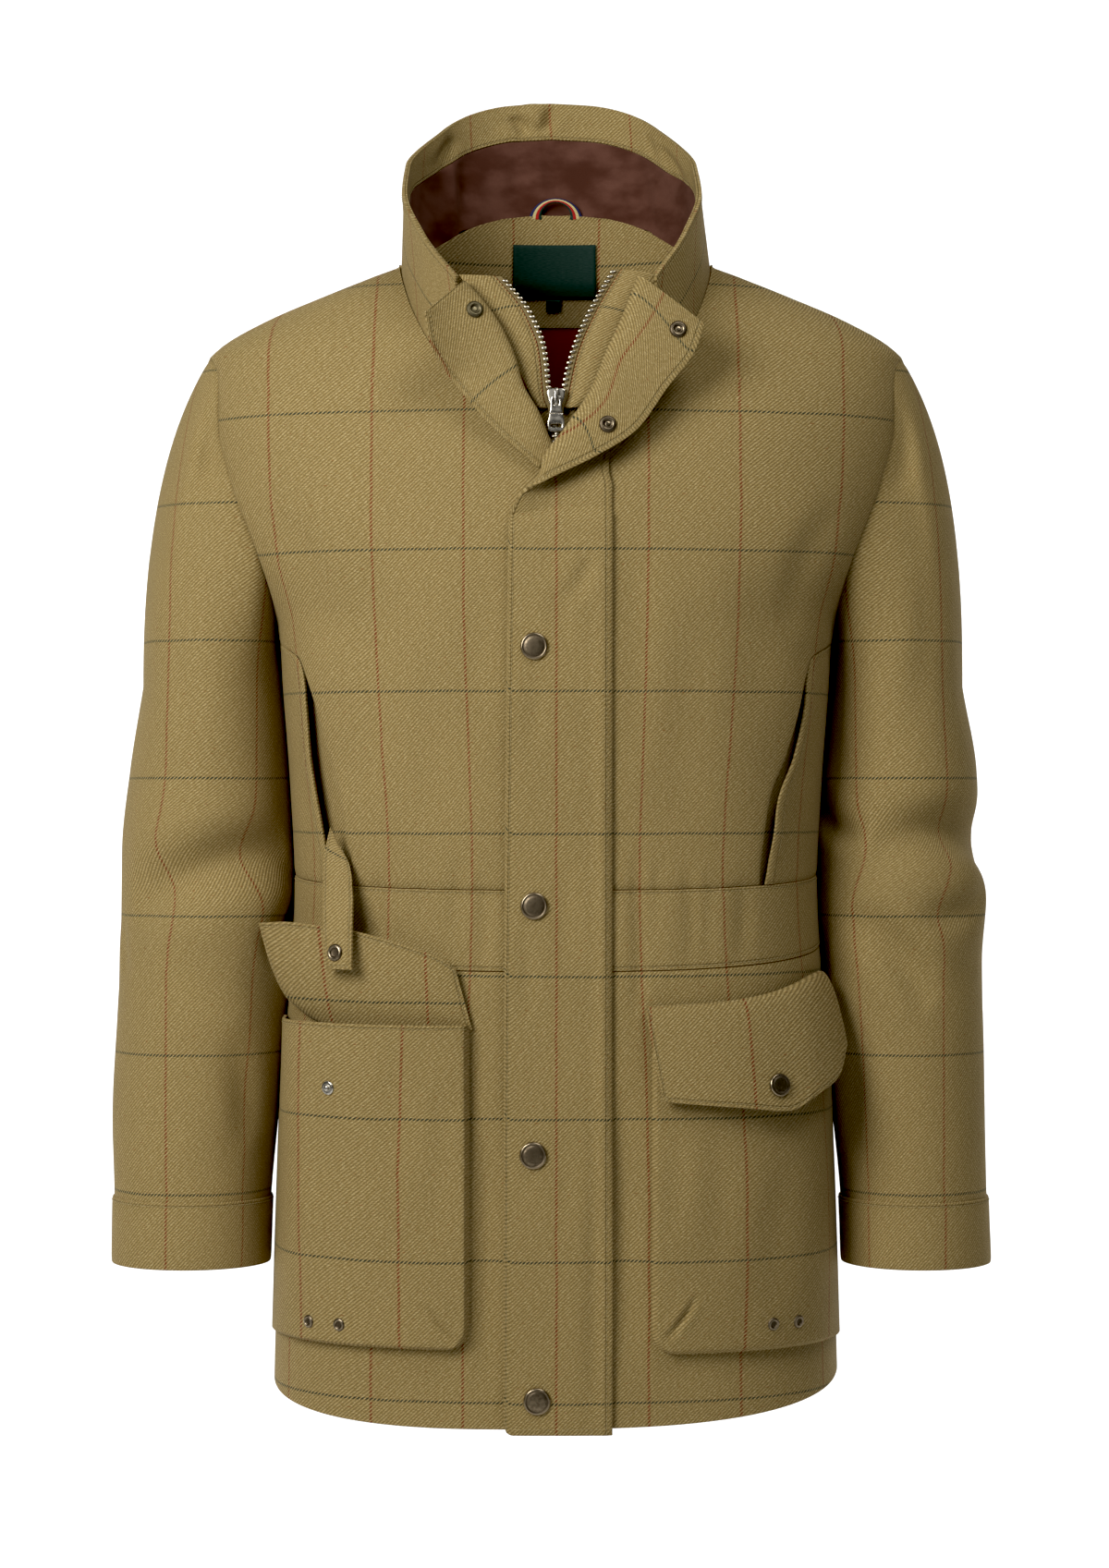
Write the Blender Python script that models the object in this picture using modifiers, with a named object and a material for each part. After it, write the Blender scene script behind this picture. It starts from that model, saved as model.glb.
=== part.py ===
"""Tweed field coat, filled out as worn, modelled as hollow cloth walls in metres, +Z up.

The front faces -Y and the wearer's left is +X.  The origin lies between the two points where the
shoulders meet the neck.  Tables are in millimetres, one row for each section, and MM scales them.
"""

import math

import bmesh
import bpy
import numpy as np
from mathutils import Vector

MM = 0.001
COLLECTION = "field_coat"

# Wall thicknesses and the gap that every seam keeps
WALL = 2.0 * MM
THIN_WALL = 1.2 * MM
SEAM = 0.3 * MM
EDGE_CELL = 0.03
LAYER_GAP = 0.5 * MM
INNER_GAP = 1.3 * MM

# Torso sections: height, half width, front depth, back depth, squareness of the outline
TORSO = np.array([
    [-800, 190, 132, 128, 2.7],
    [-742, 189, 133, 128, 2.7],
    [-600, 184.5, 138, 128, 2.7],
    [-530, 182, 138, 126, 2.7],
    [-470, 178, 138, 122, 2.7],
    [-415, 175.5, 137, 119, 2.7],
    [-350, 178.5, 138, 121, 2.7],
    [-290, 183, 140, 126, 2.7],
    [-246, 186.5, 139, 129, 2.6],
    [-200, 211, 136, 130, 2.5],
    [-156, 229, 128, 128, 2.4],
    [-100, 236.5, 110, 120, 2.3],
    [-66, 235, 90, 107, 2.2],
    [-56, 226, 84, 103, 2.2],
    [-39, 197, 71, 95.5, 2.2],
    [-20, 153, 57, 87, 2.2],
    [-8, 123, 47, 81, 2.2],
    [0, 104, 42, 78, 2.2],
    [15, 97, 40, 77, 2.2],
    [55, 88, 40, 76, 2.2],
]) * [MM, MM, MM, MM, 1.0]

# Seams round the body: height at the sides and how much lower at the front and the back
HEM_SIDE, HEM_FRONT_DROP, HEM_BACK_DROP = -742 * MM, 21 * MM, 8 * MM
HEM_TILT = 3.5 * MM
WAIST_TOP_SIDE, WAIST_TOP_DROP = -410 * MM, 8 * MM
WAIST_LOW_SIDE, WAIST_LOW_DROP = -456 * MM, 14 * MM
SEAM_FADE = 110 * MM

# Armhole: an oval seen from the side, leaning forward at its top
ARMHOLE_Z, ARMHOLE_HALF = -156 * MM, 90 * MM
ARMHOLE_FRONT, ARMHOLE_BACK = 66 * MM, 74 * MM
SHOULDER_SEAM_Y = -14 * MM
SLEEVE_GAP = 0.45 * MM

# The neckline follows the collar's base, a little outside it, and drops to the zip at the front
NECK_MARGIN = 1.0 * MM
NECK_FRONT = np.array([
    [-113, 0.3],
    [-105, 40],
]) * MM

# Slanted seam from armhole to waist that holds the hand slit: height, x, slit on the right, on the left
HAND_SLIT = np.array([
    [-425, 129, 0.6, 0.6],
    [-405, 131, 1, 0.8],
    [-376, 136, 9, 3],
    [-355, 142, 8, 3.5],
    [-325, 154, 4, 3],
    [-295, 162, 2, 1.5],
    [-272, 169, 2, 2],
    [-245, 186.6, 1.4, 1.4],
]) * MM

# Sleeve sections below the underarm: height, inner x, outer x, middle y, half depth
SLEEVES = {
    "right": np.array([
        [-668, 191.5, 294.5, -33, 51],
        [-631, 190.5, 294.5, -29, 52],
        [-570, 188.5, 296.5, -23, 55],
        [-500, 185.5, 293.5, -17, 57],
        [-440, 182.5, 292, -12, 58],
        [-395, 178.4, 292, -8, 60],
        [-340, 181.8, 287, -2, 63],
        [-285, 187, 278.5, 2, 66],
    ]) * MM,
    "left": np.array([
        [-668, 191.5, 288.5, -33, 51],
        [-631, 190.5, 287.5, -29, 52],
        [-540, 187, 286.5, -21, 55],
        [-470, 183, 286, -14, 57.5],
        [-430, 180.4, 288, -11, 59],
        [-387, 178.6, 282, -7, 60],
        [-340, 181.8, 282.5, -2, 63],
        [-285, 187, 274.5, 2, 66],
    ]) * MM,
}
UNDERARM_RING = -285 * MM
SLEEVE_END, CUFF_END = -624 * MM, -668 * MM
CUFF_STEP = 1.6 * MM
CAP_LEAN_TOP, CAP_LEAN_UNDER = 58, 76

# Sleeve folds, in millimetres: height, direction round the arm in degrees, depth, half height, half spread in degrees
SLEEVE_FOLDS = [
    (-386, 60, 6.0, 9, 55),
    (-412, 20, 4.5, 10, 60),
    (-405, 130, 5.0, 10, 50),
    (-442, 75, 3.0, 12, 45),
]

# Stand collar from the back to the front end: base x, base z, rim x, rim y, rim z
COLLAR = np.array([
    [0, 43, 0, 87, 126],
    [28, 41, 31, 83.5, 123.5],
    [54, 34, 58, 72, 115],
    [84, 16, 80, 47, 97],
    [104, 0, 98.5, 2, 69],
    [98, -26, 99.5, -44, 44],
    [85, -56, 88, -80, 12],
    [67, -84, 65, -107, -22],
]) * MM
COLLAR_SIDE_ROW = 4
COLLAR_LEAN = -3.5 * MM
COLLAR_RISE = 1.1 * MM
BAND_SHARE = 0.3

# Storm flap: its seam, its free edge, how far its face stands off the front, its doubled wall
FLAP_SEAM_X, FLAP_EDGE_X = 36 * MM, -33 * MM
FLAP_LIFT = 4.8 * MM
FLAP_WALL = 2.6 * MM
FLAP_LOW_ROWS = 10
UNDERLAP_WALL = 1.6 * MM

# Turned-back tops, one row from the breast to the collar, with how far each row is turned:
# seam x, seam y, seam z, fold x, fold y, fold z, edge x, edge y, edge z
LAPEL_LEFT = np.array([
    [36, -134.8, -174, 2, -135.6, -174, -30, -135.4, -179],
    [36, -132.6, -160, -4, -134.8, -159, -24, -138, -168],
    [34, -130, -148, -7, -135, -146, -6, -142, -157],
    [36, -124, -130, 9, -131, -122, 26, -138, -141],
    [42, -118, -110, 24, -127, -99, 51, -130, -124.5],
    [52, -113, -85, 35, -123, -72, 71, -121, -97],
    [58, -112, -66, 42.5, -120, -56, 89, -111, -73],
    [66, -111.5, -33, 54.8, -116, -24, 95, -105, -55],
]) * MM
LAPEL_RIGHT = np.array([
    [-8, -127.4, -143, -2, -128, -137, -11, -128.8, -148],
    [-12, -126.2, -135, -6, -128.2, -128, -22, -128.6, -138],
    [-20, -123, -118, -12, -127.5, -113, -34, -126, -127.5],
    [-32, -118.5, -101, -22, -124.5, -95, -51, -121, -110],
    [-39, -116, -81, -28, -122, -75, -65, -116, -93],
    [-48, -113.5, -62, -38, -119, -54, -75, -111, -80],
    [-56, -112, -48, -48, -117, -40, -81, -106, -67.6],
    [-66, -110.5, -34, -59.5, -114, -27, -84.1, -102, -50.6],
]) * MM
LAPEL_LEFT_TURN = np.array([0, 0.35, 0.9, 1, 1, 1, 1, 1])
LAPEL_RIGHT_TURN = np.array([0.3, 0.7, 1, 1, 1, 1, 1, 1])
LAPEL_ROLL = 8 * MM

# Open zip from the closed stretch below the slider up to the collar: teeth x, y, z, strip x, y, z
ZIP_LEFT = np.array([
    [0.4, -124.6, -137, 6, -124.6, -137],
    [0.6, -117.6, -112, 12, -118, -112],
    [3.6, -116, -101, 21, -119, -101],
    [8, -114.5, -80, 29, -116, -80],
    [12.8, -113, -65, 36, -113.5, -65],
    [24.7, -109.5, -39.4, 50, -109.5, -40],
    [37.8, -106, -17, 62.6, -106.8, -20],
]) * MM
ZIP_RIGHT = np.array([
    [-0.4, -124.6, -137, -6, -124.6, -137],
    [-0.6, -117.6, -112, -10, -117.6, -112],
    [-3.6, -116, -101, -16, -117.5, -101],
    [-5.7, -114.5, -79.3, -26, -115, -79.3],
    [-7.4, -113, -68, -33, -113, -68],
    [-17, -109.5, -44.8, -47, -109.5, -44.8],
    [-35, -106, -22, -62.6, -106.8, -21],
]) * MM
TAPE_WIDTH = 4 * MM
STRIP_FROM_ROW = 1

# Bellows pockets on the skirts, in millimetres, and where they end at the side
POCKETS = {
    "right": dict(side=-1, inner=55, top=-504, bottom=-712, gusset=6, swell=14, open_mouth=True),
    "left": dict(side=1, inner=61, top=-506, bottom=-715, gusset=3.5, swell=4, open_mouth=False),
}
POCKET_SIDE_Y = -34 * MM
POCKET_SIDE_FADE = 0.4
POCKET_CORNER = 16 * MM
POCKET_EDGE_LIFT = 2.7 * MM
POCKET_GUSSET_WIDTH = 5 * MM

# Pocket flaps, one row from the inner end to the side: x, root z, free z, lift at the root, at the free edge
FLAP_CLOSED = np.array([
    [56, -492, -552, 2.6, 15],
    [80, -491, -554, 2.6, 17],
    [112, -489, -557, 2.6, 20],
    [136, -485, -560, 2.6, 22],
    [152, -480, -551, 2.6, 24],
    [164, -475, -541, 2.6, 24],
    [171, -473, -522, 2.6, 22],
]) * MM
FLAP_RAISED = np.array([
    [-53, -498, -468, 2.6, 6],
    [-68, -499, -461, 2.6, 10],
    [-95, -499, -452, 2.6, 14],
    [-122, -498, -445, 2.6, 17],
    [-142, -495, -442, 2.6, 20],
    [-156, -491, -441, 2.6, 24],
    [-167, -487, -443, 2.6, 30],
]) * MM

# Strap that holds the raised flap: centre x, z, lift off the body, half width across, half width up
HOLD_STRAP = np.array([
    [-139, -372, 1.7, 2, -8],
    [-139, -386, 6, 4.5, -6.5],
    [-134, -402, 14, 6, -3.5],
    [-129, -420, 21, 6.5, -1],
    [-125.5, -445, 27, 6.6, 0],
    [-124.5, -469, 27, 6.6, 0],
]) * MM

# Inside of the back neck: top, foot and half width
NECK_FACING = dict(top=35 * MM, foot=-26 * MM, half=64 * MM)
BODY_LINING = dict(top=-27 * MM, foot=-165 * MM, half=105 * MM)

# Metal and trim: place in x and z, found on the cloth under it
FLAP_CAPS = [(-13.8, -262.7), (-13.8, -428), (-14.4, -586.7), (-12, -744)]
POCKET_CAP, POCKET_STUD = (143, -543), (-146, -545)
LAPEL_TOP_SOCKET, LAPEL_LOW_SOCKET = (78.4, -58.8), (33.1, -120.8)
UNDERLAP_SOCKET, STRAP_SOCKET = (-52, -46), (-141, -458)
EYELETS, EYELET_Z = {"right": (-160, -139.5), "left": (140, 157)}, -698
TRIM_LIFT = 0.4 * MM
ROUND_STEPS = 14
CAP_RADIUS, CAP_HEIGHT, POCKET_CAP_RADIUS = 8.8 * MM, 2.6 * MM, 7.6 * MM
SOCKET_RADIUS, SOCKET_HOLE, SOCKET_HEIGHT = 5.6 * MM, 2.7 * MM, 1.6 * MM
STUD_RADIUS, STUD_HEIGHT = 4.6 * MM, 3.2 * MM
EYELET_RADIUS, EYELET_HOLE, EYELET_HEIGHT = 3.4 * MM, 1.9 * MM, 0.9 * MM
LABEL = dict(left=-31, right=29, top=25, foot=-9.5)
SIZE_TAB = dict(left=-7, right=3.5, top=-10, foot=-18)
LOOP_HALF, LOOP_RISE, LOOP_RADIUS = 16 * MM, 12 * MM, 1.6 * MM

# Zip slider and its hanging pull
SLIDER_SIZE = (11.4 * MM, 4.2 * MM, 9 * MM)
SLIDER_CENTRE = Vector((0.2 * MM, -119.8 * MM, -102 * MM))
BRIDGE_WIDTH, BRIDGE_BAR, BRIDGE_ROOM = 2.4 * MM, 1.1 * MM, 2.6 * MM
BRIDGE_TOP, BRIDGE_FOOT = 2.2 * MM, -1.3 * MM
PULL_WIDTH, PULL_LENGTH, PULL_THICK = 10.6 * MM, 21 * MM, 1.4 * MM
PULL_BAR, PULL_EYE_WIDTH, PULL_EYE_LENGTH = 0.8 * MM, 3.8 * MM, 4.4 * MM
PULL_CORNER = 2 * MM

COLOURS = {
    "tweed": ((0.30, 0.225, 0.085, 1), 0.9, 0.0),
    "suede": ((0.10, 0.037, 0.029, 1), 0.95, 0.0),
    "rust_lining": ((0.17, 0.028, 0.012, 1), 0.6, 0.0),
    "zip_tape": ((0.34, 0.27, 0.15, 1), 0.8, 0.0),
    "antique_brass": ((0.16, 0.12, 0.075, 1), 0.38, 1.0),
    "gunmetal": ((0.22, 0.2, 0.17, 1), 0.32, 1.0),
    "green_label": ((0.008, 0.028, 0.018, 1), 0.55, 0.0),
    "striped_cord": ((0.03, 0.035, 0.07, 1), 0.7, 0.0),
}


def smooth(knots, values, at):
    """Cubic through rising knots that never overshoots; values may have several columns."""
    values = values.reshape(len(knots), -1)
    rise = np.diff(values, axis=0) / np.diff(knots)[:, None]
    slope = np.vstack([rise[:1], rise[:-1] / 2 + rise[1:] / 2, rise[-1:]])
    product = rise[:-1] * rise[1:]
    total = np.where(np.abs(rise[:-1] + rise[1:]) < 1e-12, 1, rise[:-1] + rise[1:])
    slope[1:-1] = np.where(product > 0, 2 * product / total, 0)
    at = np.clip(np.asarray(at, dtype=float), knots[0], knots[-1])
    left = np.clip(np.searchsorted(knots, at, side="right") - 1, 0, len(knots) - 2)
    width = np.diff(knots)[left][..., None]
    t = (at - knots[left])[..., None] / width
    start = values[left] * (1 + 2 * t) * (1 - t) ** 2 + slope[left] * width * t * (1 - t) ** 2
    end = values[left + 1] * t * t * (3 - 2 * t) + slope[left + 1] * width * t * t * (t - 1)
    return start + end


def smooth_step(value):
    """Ease from 0 to 1."""
    value = np.clip(value, 0, 1)
    return value * value * (3 - 2 * value)


def fractions(count):
    """Even spacing from 0 to 1 with a narrow cell at each end, so edges turn with the surface."""
    inner = np.linspace(EDGE_CELL, 1 - EDGE_CELL, count - 2)
    return np.concatenate([[0.0], inner, [1.0]])


def torso(angle, z):
    """Point on the outside of the torso: angle 0 is the left side, a quarter turn is the front."""
    half, front, back, power = np.moveaxis(smooth(TORSO[:, 0], TORSO[:, 1:], z), -1, 0)
    cos, sin = np.cos(angle), np.sin(angle)
    x = half * np.sign(cos) * np.abs(cos) ** (2 / power)
    y = -np.where(sin > 0, front, back) * np.sign(sin) * np.abs(sin) ** (2 / power)
    return np.stack(np.broadcast_arrays(x, y, z), axis=-1)


def torso_normal(angle, z):
    """Outward direction of the torso by small differences."""
    small_angle, small_height = 0.01, 2 * MM
    round_it = torso(angle + small_angle, z) - torso(angle - small_angle, z)
    up_it = torso(angle, z + small_height) - torso(angle, z - small_height)
    normal = np.cross(up_it, round_it)
    return normal / np.linalg.norm(normal, axis=-1, keepdims=True)


def angle_at_x(x, z):
    """Angle on the left half of the front where the torso has this x."""
    half, _, _, power = np.moveaxis(smooth(TORSO[:, 0], TORSO[:, 1:], z), -1, 0)
    return np.arccos(np.clip(np.abs(x) / half, 0, 1) ** (power / 2))


def angle_at_y(y, z):
    """Angle on the left side where the torso has this y."""
    _, front, back, power = np.moveaxis(smooth(TORSO[:, 0], TORSO[:, 1:], z), -1, 0)
    share = np.clip(np.abs(y) / np.where(np.asarray(y) < 0, front, back), 0, 1)
    return -np.sign(y) * np.arcsin(share ** (power / 2))


def spread(heights, starts, ends, shares):
    """Angles of one row for each height, spaced by length along the section."""
    rows = []
    for z, start, end in zip(heights, starts, ends):
        dense = np.linspace(start, end, 120)
        steps = np.linalg.norm(np.diff(torso(dense, np.full_like(dense, z)), axis=0), axis=1)
        length = np.concatenate([[0.0], np.cumsum(steps)])
        rows.append(np.interp(shares * length[-1], length, dense))
    return np.array(rows)


def round_seam(angle, side, front_drop, back_drop):
    """Height of a seam that runs round the body."""
    sin = np.sin(angle)
    return side - np.where(sin > 0, front_drop, back_drop) * np.abs(sin)


def hem(angle):
    """Height of the hem."""
    level = round_seam(angle, HEM_SIDE, HEM_FRONT_DROP, HEM_BACK_DROP)
    return level + HEM_TILT * np.cos(angle)


def waist_top(angle):
    """Height of the upper waist seam."""
    return round_seam(angle, WAIST_TOP_SIDE, WAIST_TOP_DROP, WAIST_TOP_DROP)


def waist_low(angle):
    """Height of the lower waist seam."""
    return round_seam(angle, WAIST_LOW_SIDE, WAIST_LOW_DROP, WAIST_LOW_DROP)


def armhole_middle(z):
    """Middle of the armhole, which leans to the shoulder seam at its top."""
    return SHOULDER_SEAM_Y * smooth_step((z - ARMHOLE_Z + ARMHOLE_HALF) / (2 * ARMHOLE_HALF))


def armhole_reach(z):
    """Share of the armhole's depth that is open at this height."""
    return np.sqrt(np.clip(1 - ((z - ARMHOLE_Z) / ARMHOLE_HALF) ** 2, 0, 1))


def mirrored(points, side):
    """The same points on the wearer's left (1) or right (-1)."""
    return points * np.array([side, 1.0, 1.0])


def material(name):
    """Principled material of one colour, made once."""
    if name in bpy.data.materials:
        return bpy.data.materials[name]
    colour, roughness, metallic = COLOURS[name]
    made = bpy.data.materials.new(name)
    made.use_nodes = True
    shader = made.node_tree.nodes["Principled BSDF"]
    shader.inputs["Base Color"].default_value = colour
    shader.inputs["Roughness"].default_value = roughness
    shader.inputs["Metallic"].default_value = metallic
    made.diffuse_color = colour
    return made


def keep(name, data, colour):
    """Object in the coat's collection."""
    made = bpy.data.objects.new(name, data)
    made.data.materials.append(material(colour))
    bpy.data.collections[COLLECTION].objects.link(made)
    return made


def faces_in(points, away_from):
    """True when the grid's faces point towards the given place instead of away from it."""
    normals = np.cross(points[1:, 1:] - points[:-1, :-1], points[1:, :-1] - points[:-1, 1:])
    outward = (points[1:, 1:] + points[:-1, :-1]) / 2 - np.asarray(away_from)
    return (normals * outward).sum() < 0


def sheet(name, points, wall, colour, flip, closed=False):
    """Cloth wall: an open grid of points with its thickness on the inner side."""
    rows, columns = points.shape[:2]
    index = np.arange(rows * columns).reshape(rows, columns)
    if closed:
        index = np.column_stack([index, index[:, 0]])
    corners = [index[:-1, :-1], index[:-1, 1:], index[1:, 1:], index[1:, :-1]]
    faces = np.stack(corners, axis=-1).reshape(-1, 4)
    if flip:
        faces = faces[:, ::-1]
    mesh = bpy.data.meshes.new(name)
    mesh.from_pydata(points.reshape(-1, 3).tolist(), [], faces.tolist())
    mesh.shade_smooth()
    made = keep(name, mesh, colour)
    solid = made.modifiers.new("wall", "SOLIDIFY")
    solid.thickness = wall
    solid.offset = -1
    return made


def body_sheet(name, points, wall=WALL, colour="tweed", closed=False):
    """Cloth wall whose outside faces away from the middle of the body."""
    middle = np.array([0.0, 0.0, points[..., 2].mean()])
    return sheet(name, points, wall, colour, faces_in(points, middle), closed)


def slit_edge(z, column):
    """x of the slanted seam, and half of its gap, at each height."""
    found = smooth(HAND_SLIT[:, 0], HAND_SLIT[:, 1:], z)
    return found[..., 0], found[..., column] / 2


def settle(heights, angles, seam):
    """Heights of a grid whose lowest row follows a seam, fading out above it."""
    lowest = heights[0]
    fade = np.clip(1 - (heights - lowest) / SEAM_FADE, 0, 1)[:, None]
    return heights[:, None] + fade * (seam(angles) + SEAM / 2 - lowest)


def armhole_heights(count):
    """Heights that crowd at the armhole's top and underarm."""
    turn = np.linspace(-math.pi / 2, math.pi / 2, count)
    return ARMHOLE_Z + ARMHOLE_HALF * np.sin(turn)


def collar_knots():
    """Position of each collar row along the neckline, from the back at 0 to the front end at 1."""
    steps = np.hypot(*np.diff(COLLAR[:, :2], axis=0).T)
    return np.concatenate([[0.0], np.cumsum(steps)]) / steps.sum()


def collar_base(along):
    """The collar's base on the torso's left half, along from 0 at the back to 1 at the front end."""
    x, z = smooth(collar_knots(), COLLAR[:, :2], along).T
    front = along > collar_knots()[COLLAR_SIDE_ROW]
    return torso(np.where(front, 1, -1) * angle_at_x(x, z), z)


def neck_at(z, front, column):
    """x (column 0) or y (column 1) of the neckline at these heights, on the front or the back."""
    side = collar_knots()[COLLAR_SIDE_ROW]
    base = collar_base(np.linspace(side, 1, 60)[::-1] if front else np.linspace(0, side, 60)[::-1])
    return np.interp(z, base[:, 2], base[:, column])


def front_panel(name, side, slit_column):
    """Chest panel from the zip to the slanted seam, the armhole and the shoulder seam."""
    low = np.linspace(WAIST_TOP_SIDE - WAIST_TOP_DROP, ARMHOLE_Z - ARMHOLE_HALF, 8)[:-1]
    middle = armhole_heights(11)
    high = np.array([-52, -36, -20, -9]) * MM
    heights = np.concatenate([low, middle, high])
    dip = np.interp(heights, NECK_FRONT[:, 0], NECK_FRONT[:, 1], left=SEAM / 2)
    neck = np.where(heights > NECK_FRONT[1, 0], neck_at(heights, True, 0) + NECK_MARGIN, dip)
    starts = angle_at_x(neck, heights)
    slit_x, slit_half = slit_edge(low, slit_column)
    ends_low = angle_at_x(slit_x - slit_half, low)
    ends_arm = angle_at_y(armhole_middle(middle) - ARMHOLE_FRONT * armhole_reach(middle) - SEAM, middle)
    ends_high = angle_at_y(np.full_like(high, SHOULDER_SEAM_Y - SEAM), high)
    angles = spread(heights, starts, np.concatenate([ends_low, ends_arm, ends_high]), fractions(11))
    points = torso(angles, settle(heights, angles, waist_top))
    body_sheet(name, mirrored(points, side))


def side_panel(name, side, slit_column):
    """Narrow panel between the slanted seam and the side seam."""
    heights = np.linspace(WAIST_TOP_SIDE - WAIST_TOP_DROP, ARMHOLE_Z - ARMHOLE_HALF - 14 * MM, 8)
    slit_x, slit_half = slit_edge(heights, slit_column)
    starts = angle_at_x(slit_x + slit_half, heights)
    ends = angle_at_y(np.full_like(heights, -SEAM / 2), heights)
    angles = spread(heights, starts, ends, fractions(6))
    points = torso(angles, settle(heights, angles, waist_top))
    body_sheet(name, mirrored(points, side))


def belt_panel(name, side, lower, upper, rows):
    """Front piece between two seams that run round the body, from the zip to the side seam."""
    shares = np.linspace(0, 1, rows)
    heights = lower(math.pi / 2) + (upper(math.pi / 2) - lower(math.pi / 2)) * shares
    starts = angle_at_x(np.full_like(heights, SEAM / 2), heights)
    ends = angle_at_y(np.full_like(heights, -SEAM / 2), heights)
    angles = spread(heights, starts, ends, fractions(15))
    own = angles if side > 0 else math.pi - angles
    foot = lower(own) + SEAM / 2
    head = upper(own) - SEAM / 2
    points = torso(angles, foot + (head - foot) * shares[:, None])
    body_sheet(name, mirrored(points, side))


def back_panel():
    """One back panel, over the shoulders to the forward shoulder seams and up to the back neck."""
    low = np.linspace(HEM_SIDE - HEM_BACK_DROP, ARMHOLE_Z - ARMHOLE_HALF, 10)[:-1]
    middle = armhole_heights(11)
    high = np.array([-52, -36, -20, -8, 2, 14, 26, 35, 41]) * MM
    heights = np.concatenate([low, middle, high])
    arm_y = armhole_middle(middle) + ARMHOLE_BACK * armhole_reach(middle) + SEAM
    ends_arm = angle_at_y(arm_y, middle)
    over = high < -1 * MM
    neck_y = neck_at(high, False, 1) + NECK_MARGIN
    ends_high = angle_at_y(np.where(over, SHOULDER_SEAM_Y + SEAM, neck_y), high)
    ends_low = angle_at_y(np.full_like(low, SEAM / 2), low)
    ends = np.concatenate([ends_low, ends_arm, ends_high])
    angles = spread(heights, -math.pi - ends, ends, fractions(21))
    points = torso(angles, settle(heights, angles, hem))
    body_sheet("back", points)


def sleeve_ring(table, turn, height, step=0.0):
    """Ring of the sleeve at one height; turn 0 is its front and a quarter turn its outer side."""
    z = np.full_like(turn, height)
    inner, outer, middle, deep = np.moveaxis(smooth(table[:, 0], table[:, 1:], z), -1, 0)
    x = (inner + outer) / 2 + ((outer - inner) / 2 + step) * np.sin(turn)
    y = middle - (deep + step) * np.cos(turn)
    return np.stack([x, y, z], axis=-1)


def armhole_ring(turn):
    """The armhole's edge on the torso, with the same turns as the sleeve's rings."""
    z = ARMHOLE_Z + ARMHOLE_HALF * np.sin(turn)
    depth = np.where(np.cos(turn) > 0, ARMHOLE_FRONT, ARMHOLE_BACK)
    y = armhole_middle(z) - depth * np.cos(turn)
    return torso(angle_at_y(y, z), z)


def sleeve_folds(points, turn):
    """Soft troughs pressed into the sleeve, mostly round the elbow."""
    centre = points.mean(axis=1, keepdims=True)
    outward = points - centre
    outward /= np.linalg.norm(outward, axis=-1, keepdims=True)
    push = np.zeros(points.shape[:2])
    for height, direction, depth, half_height, half_spread in SLEEVE_FOLDS:
        away = np.angle(np.exp(1j * (turn - math.radians(direction))))
        along = ((points[..., 2] - height * MM) / (half_height * MM)) ** 2
        push += depth * MM * np.exp(-along - (away / math.radians(half_spread)) ** 2)
    return points - outward * push[..., None]


def sleeve(name, side, table):
    """Sleeve from the armhole over its head, then down through the arm's sections."""
    turn = np.linspace(0, 2 * math.pi, 20, endpoint=False)
    lean = np.radians(CAP_LEAN_UNDER + (CAP_LEAN_TOP - CAP_LEAN_UNDER) * (1 + np.sin(turn)) / 2)
    leave = np.stack([np.cos(lean), -0.15 * np.cos(turn), -np.sin(lean)], axis=-1)
    start = armhole_ring(turn) + leave * SLEEVE_GAP + np.array([SLEEVE_GAP, 0, 0])
    end = sleeve_ring(table, turn, UNDERARM_RING)
    reach = np.linalg.norm(end - start, axis=-1, keepdims=True)
    rows = []
    for t in np.linspace(0, 1, 7)[:-1]:
        held = start * (1 + 2 * t) * (1 - t) ** 2 + end * t * t * (3 - 2 * t)
        arrive = np.array([0.0, 0.0, -1.0]) * reach
        rows.append(held + leave * reach * t * (1 - t) ** 2 + arrive * t * t * (t - 1))
    for z in np.linspace(UNDERARM_RING, SLEEVE_END, 13):
        rows.append(sleeve_ring(table, turn, z))
    points = sleeve_folds(np.array(rows), turn)
    middle = points.mean(axis=(0, 1)) * np.array([side, 1, 1])
    points = mirrored(points, side)
    sheet(name, points, WALL, "tweed", faces_in(points, middle), closed=True)


def cuff(name, side, table):
    """Turned cuff, a step wider than the sleeve that ends in it."""
    turn = np.linspace(0, 2 * math.pi, 20, endpoint=False)
    rows = []
    for z in np.linspace(SLEEVE_END - SEAM, CUFF_END, 4):
        rows.append(sleeve_ring(table, turn, z, CUFF_STEP))
    points = np.array(rows)
    middle = points.mean(axis=(0, 1)) * np.array([side, 1, 1])
    points = mirrored(points, side)
    sheet(name, points, WALL, "tweed", faces_in(points, middle), closed=True)


def collar_points(along, up, inward):
    """Grid on the stand collar: along runs -1 to 1 round the neck, up from base to rim."""
    base = mirrored(collar_base(np.abs(along)), 1)
    rim = smooth(collar_knots(), COLLAR[:, 2:], np.abs(along))
    base[:, 0] *= np.sign(along)
    rim[:, 0] = rim[:, 0] * np.sign(along) + COLLAR_LEAN * (1 - np.abs(along) ** 4)
    points = base[None] + (rim - base)[None] * up[:, None, None]
    points[..., 2] += COLLAR_RISE * (1 - up[:, None])
    tangent = np.gradient(points, along, axis=1)
    flat = np.stack([tangent[..., 1], -tangent[..., 0], np.zeros_like(tangent[..., 0])], axis=-1)
    flat /= np.linalg.norm(flat, axis=-1, keepdims=True)
    flat *= np.sign((flat * points)[..., :2].sum(axis=-1))[..., None]
    return points - flat * inward


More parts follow.
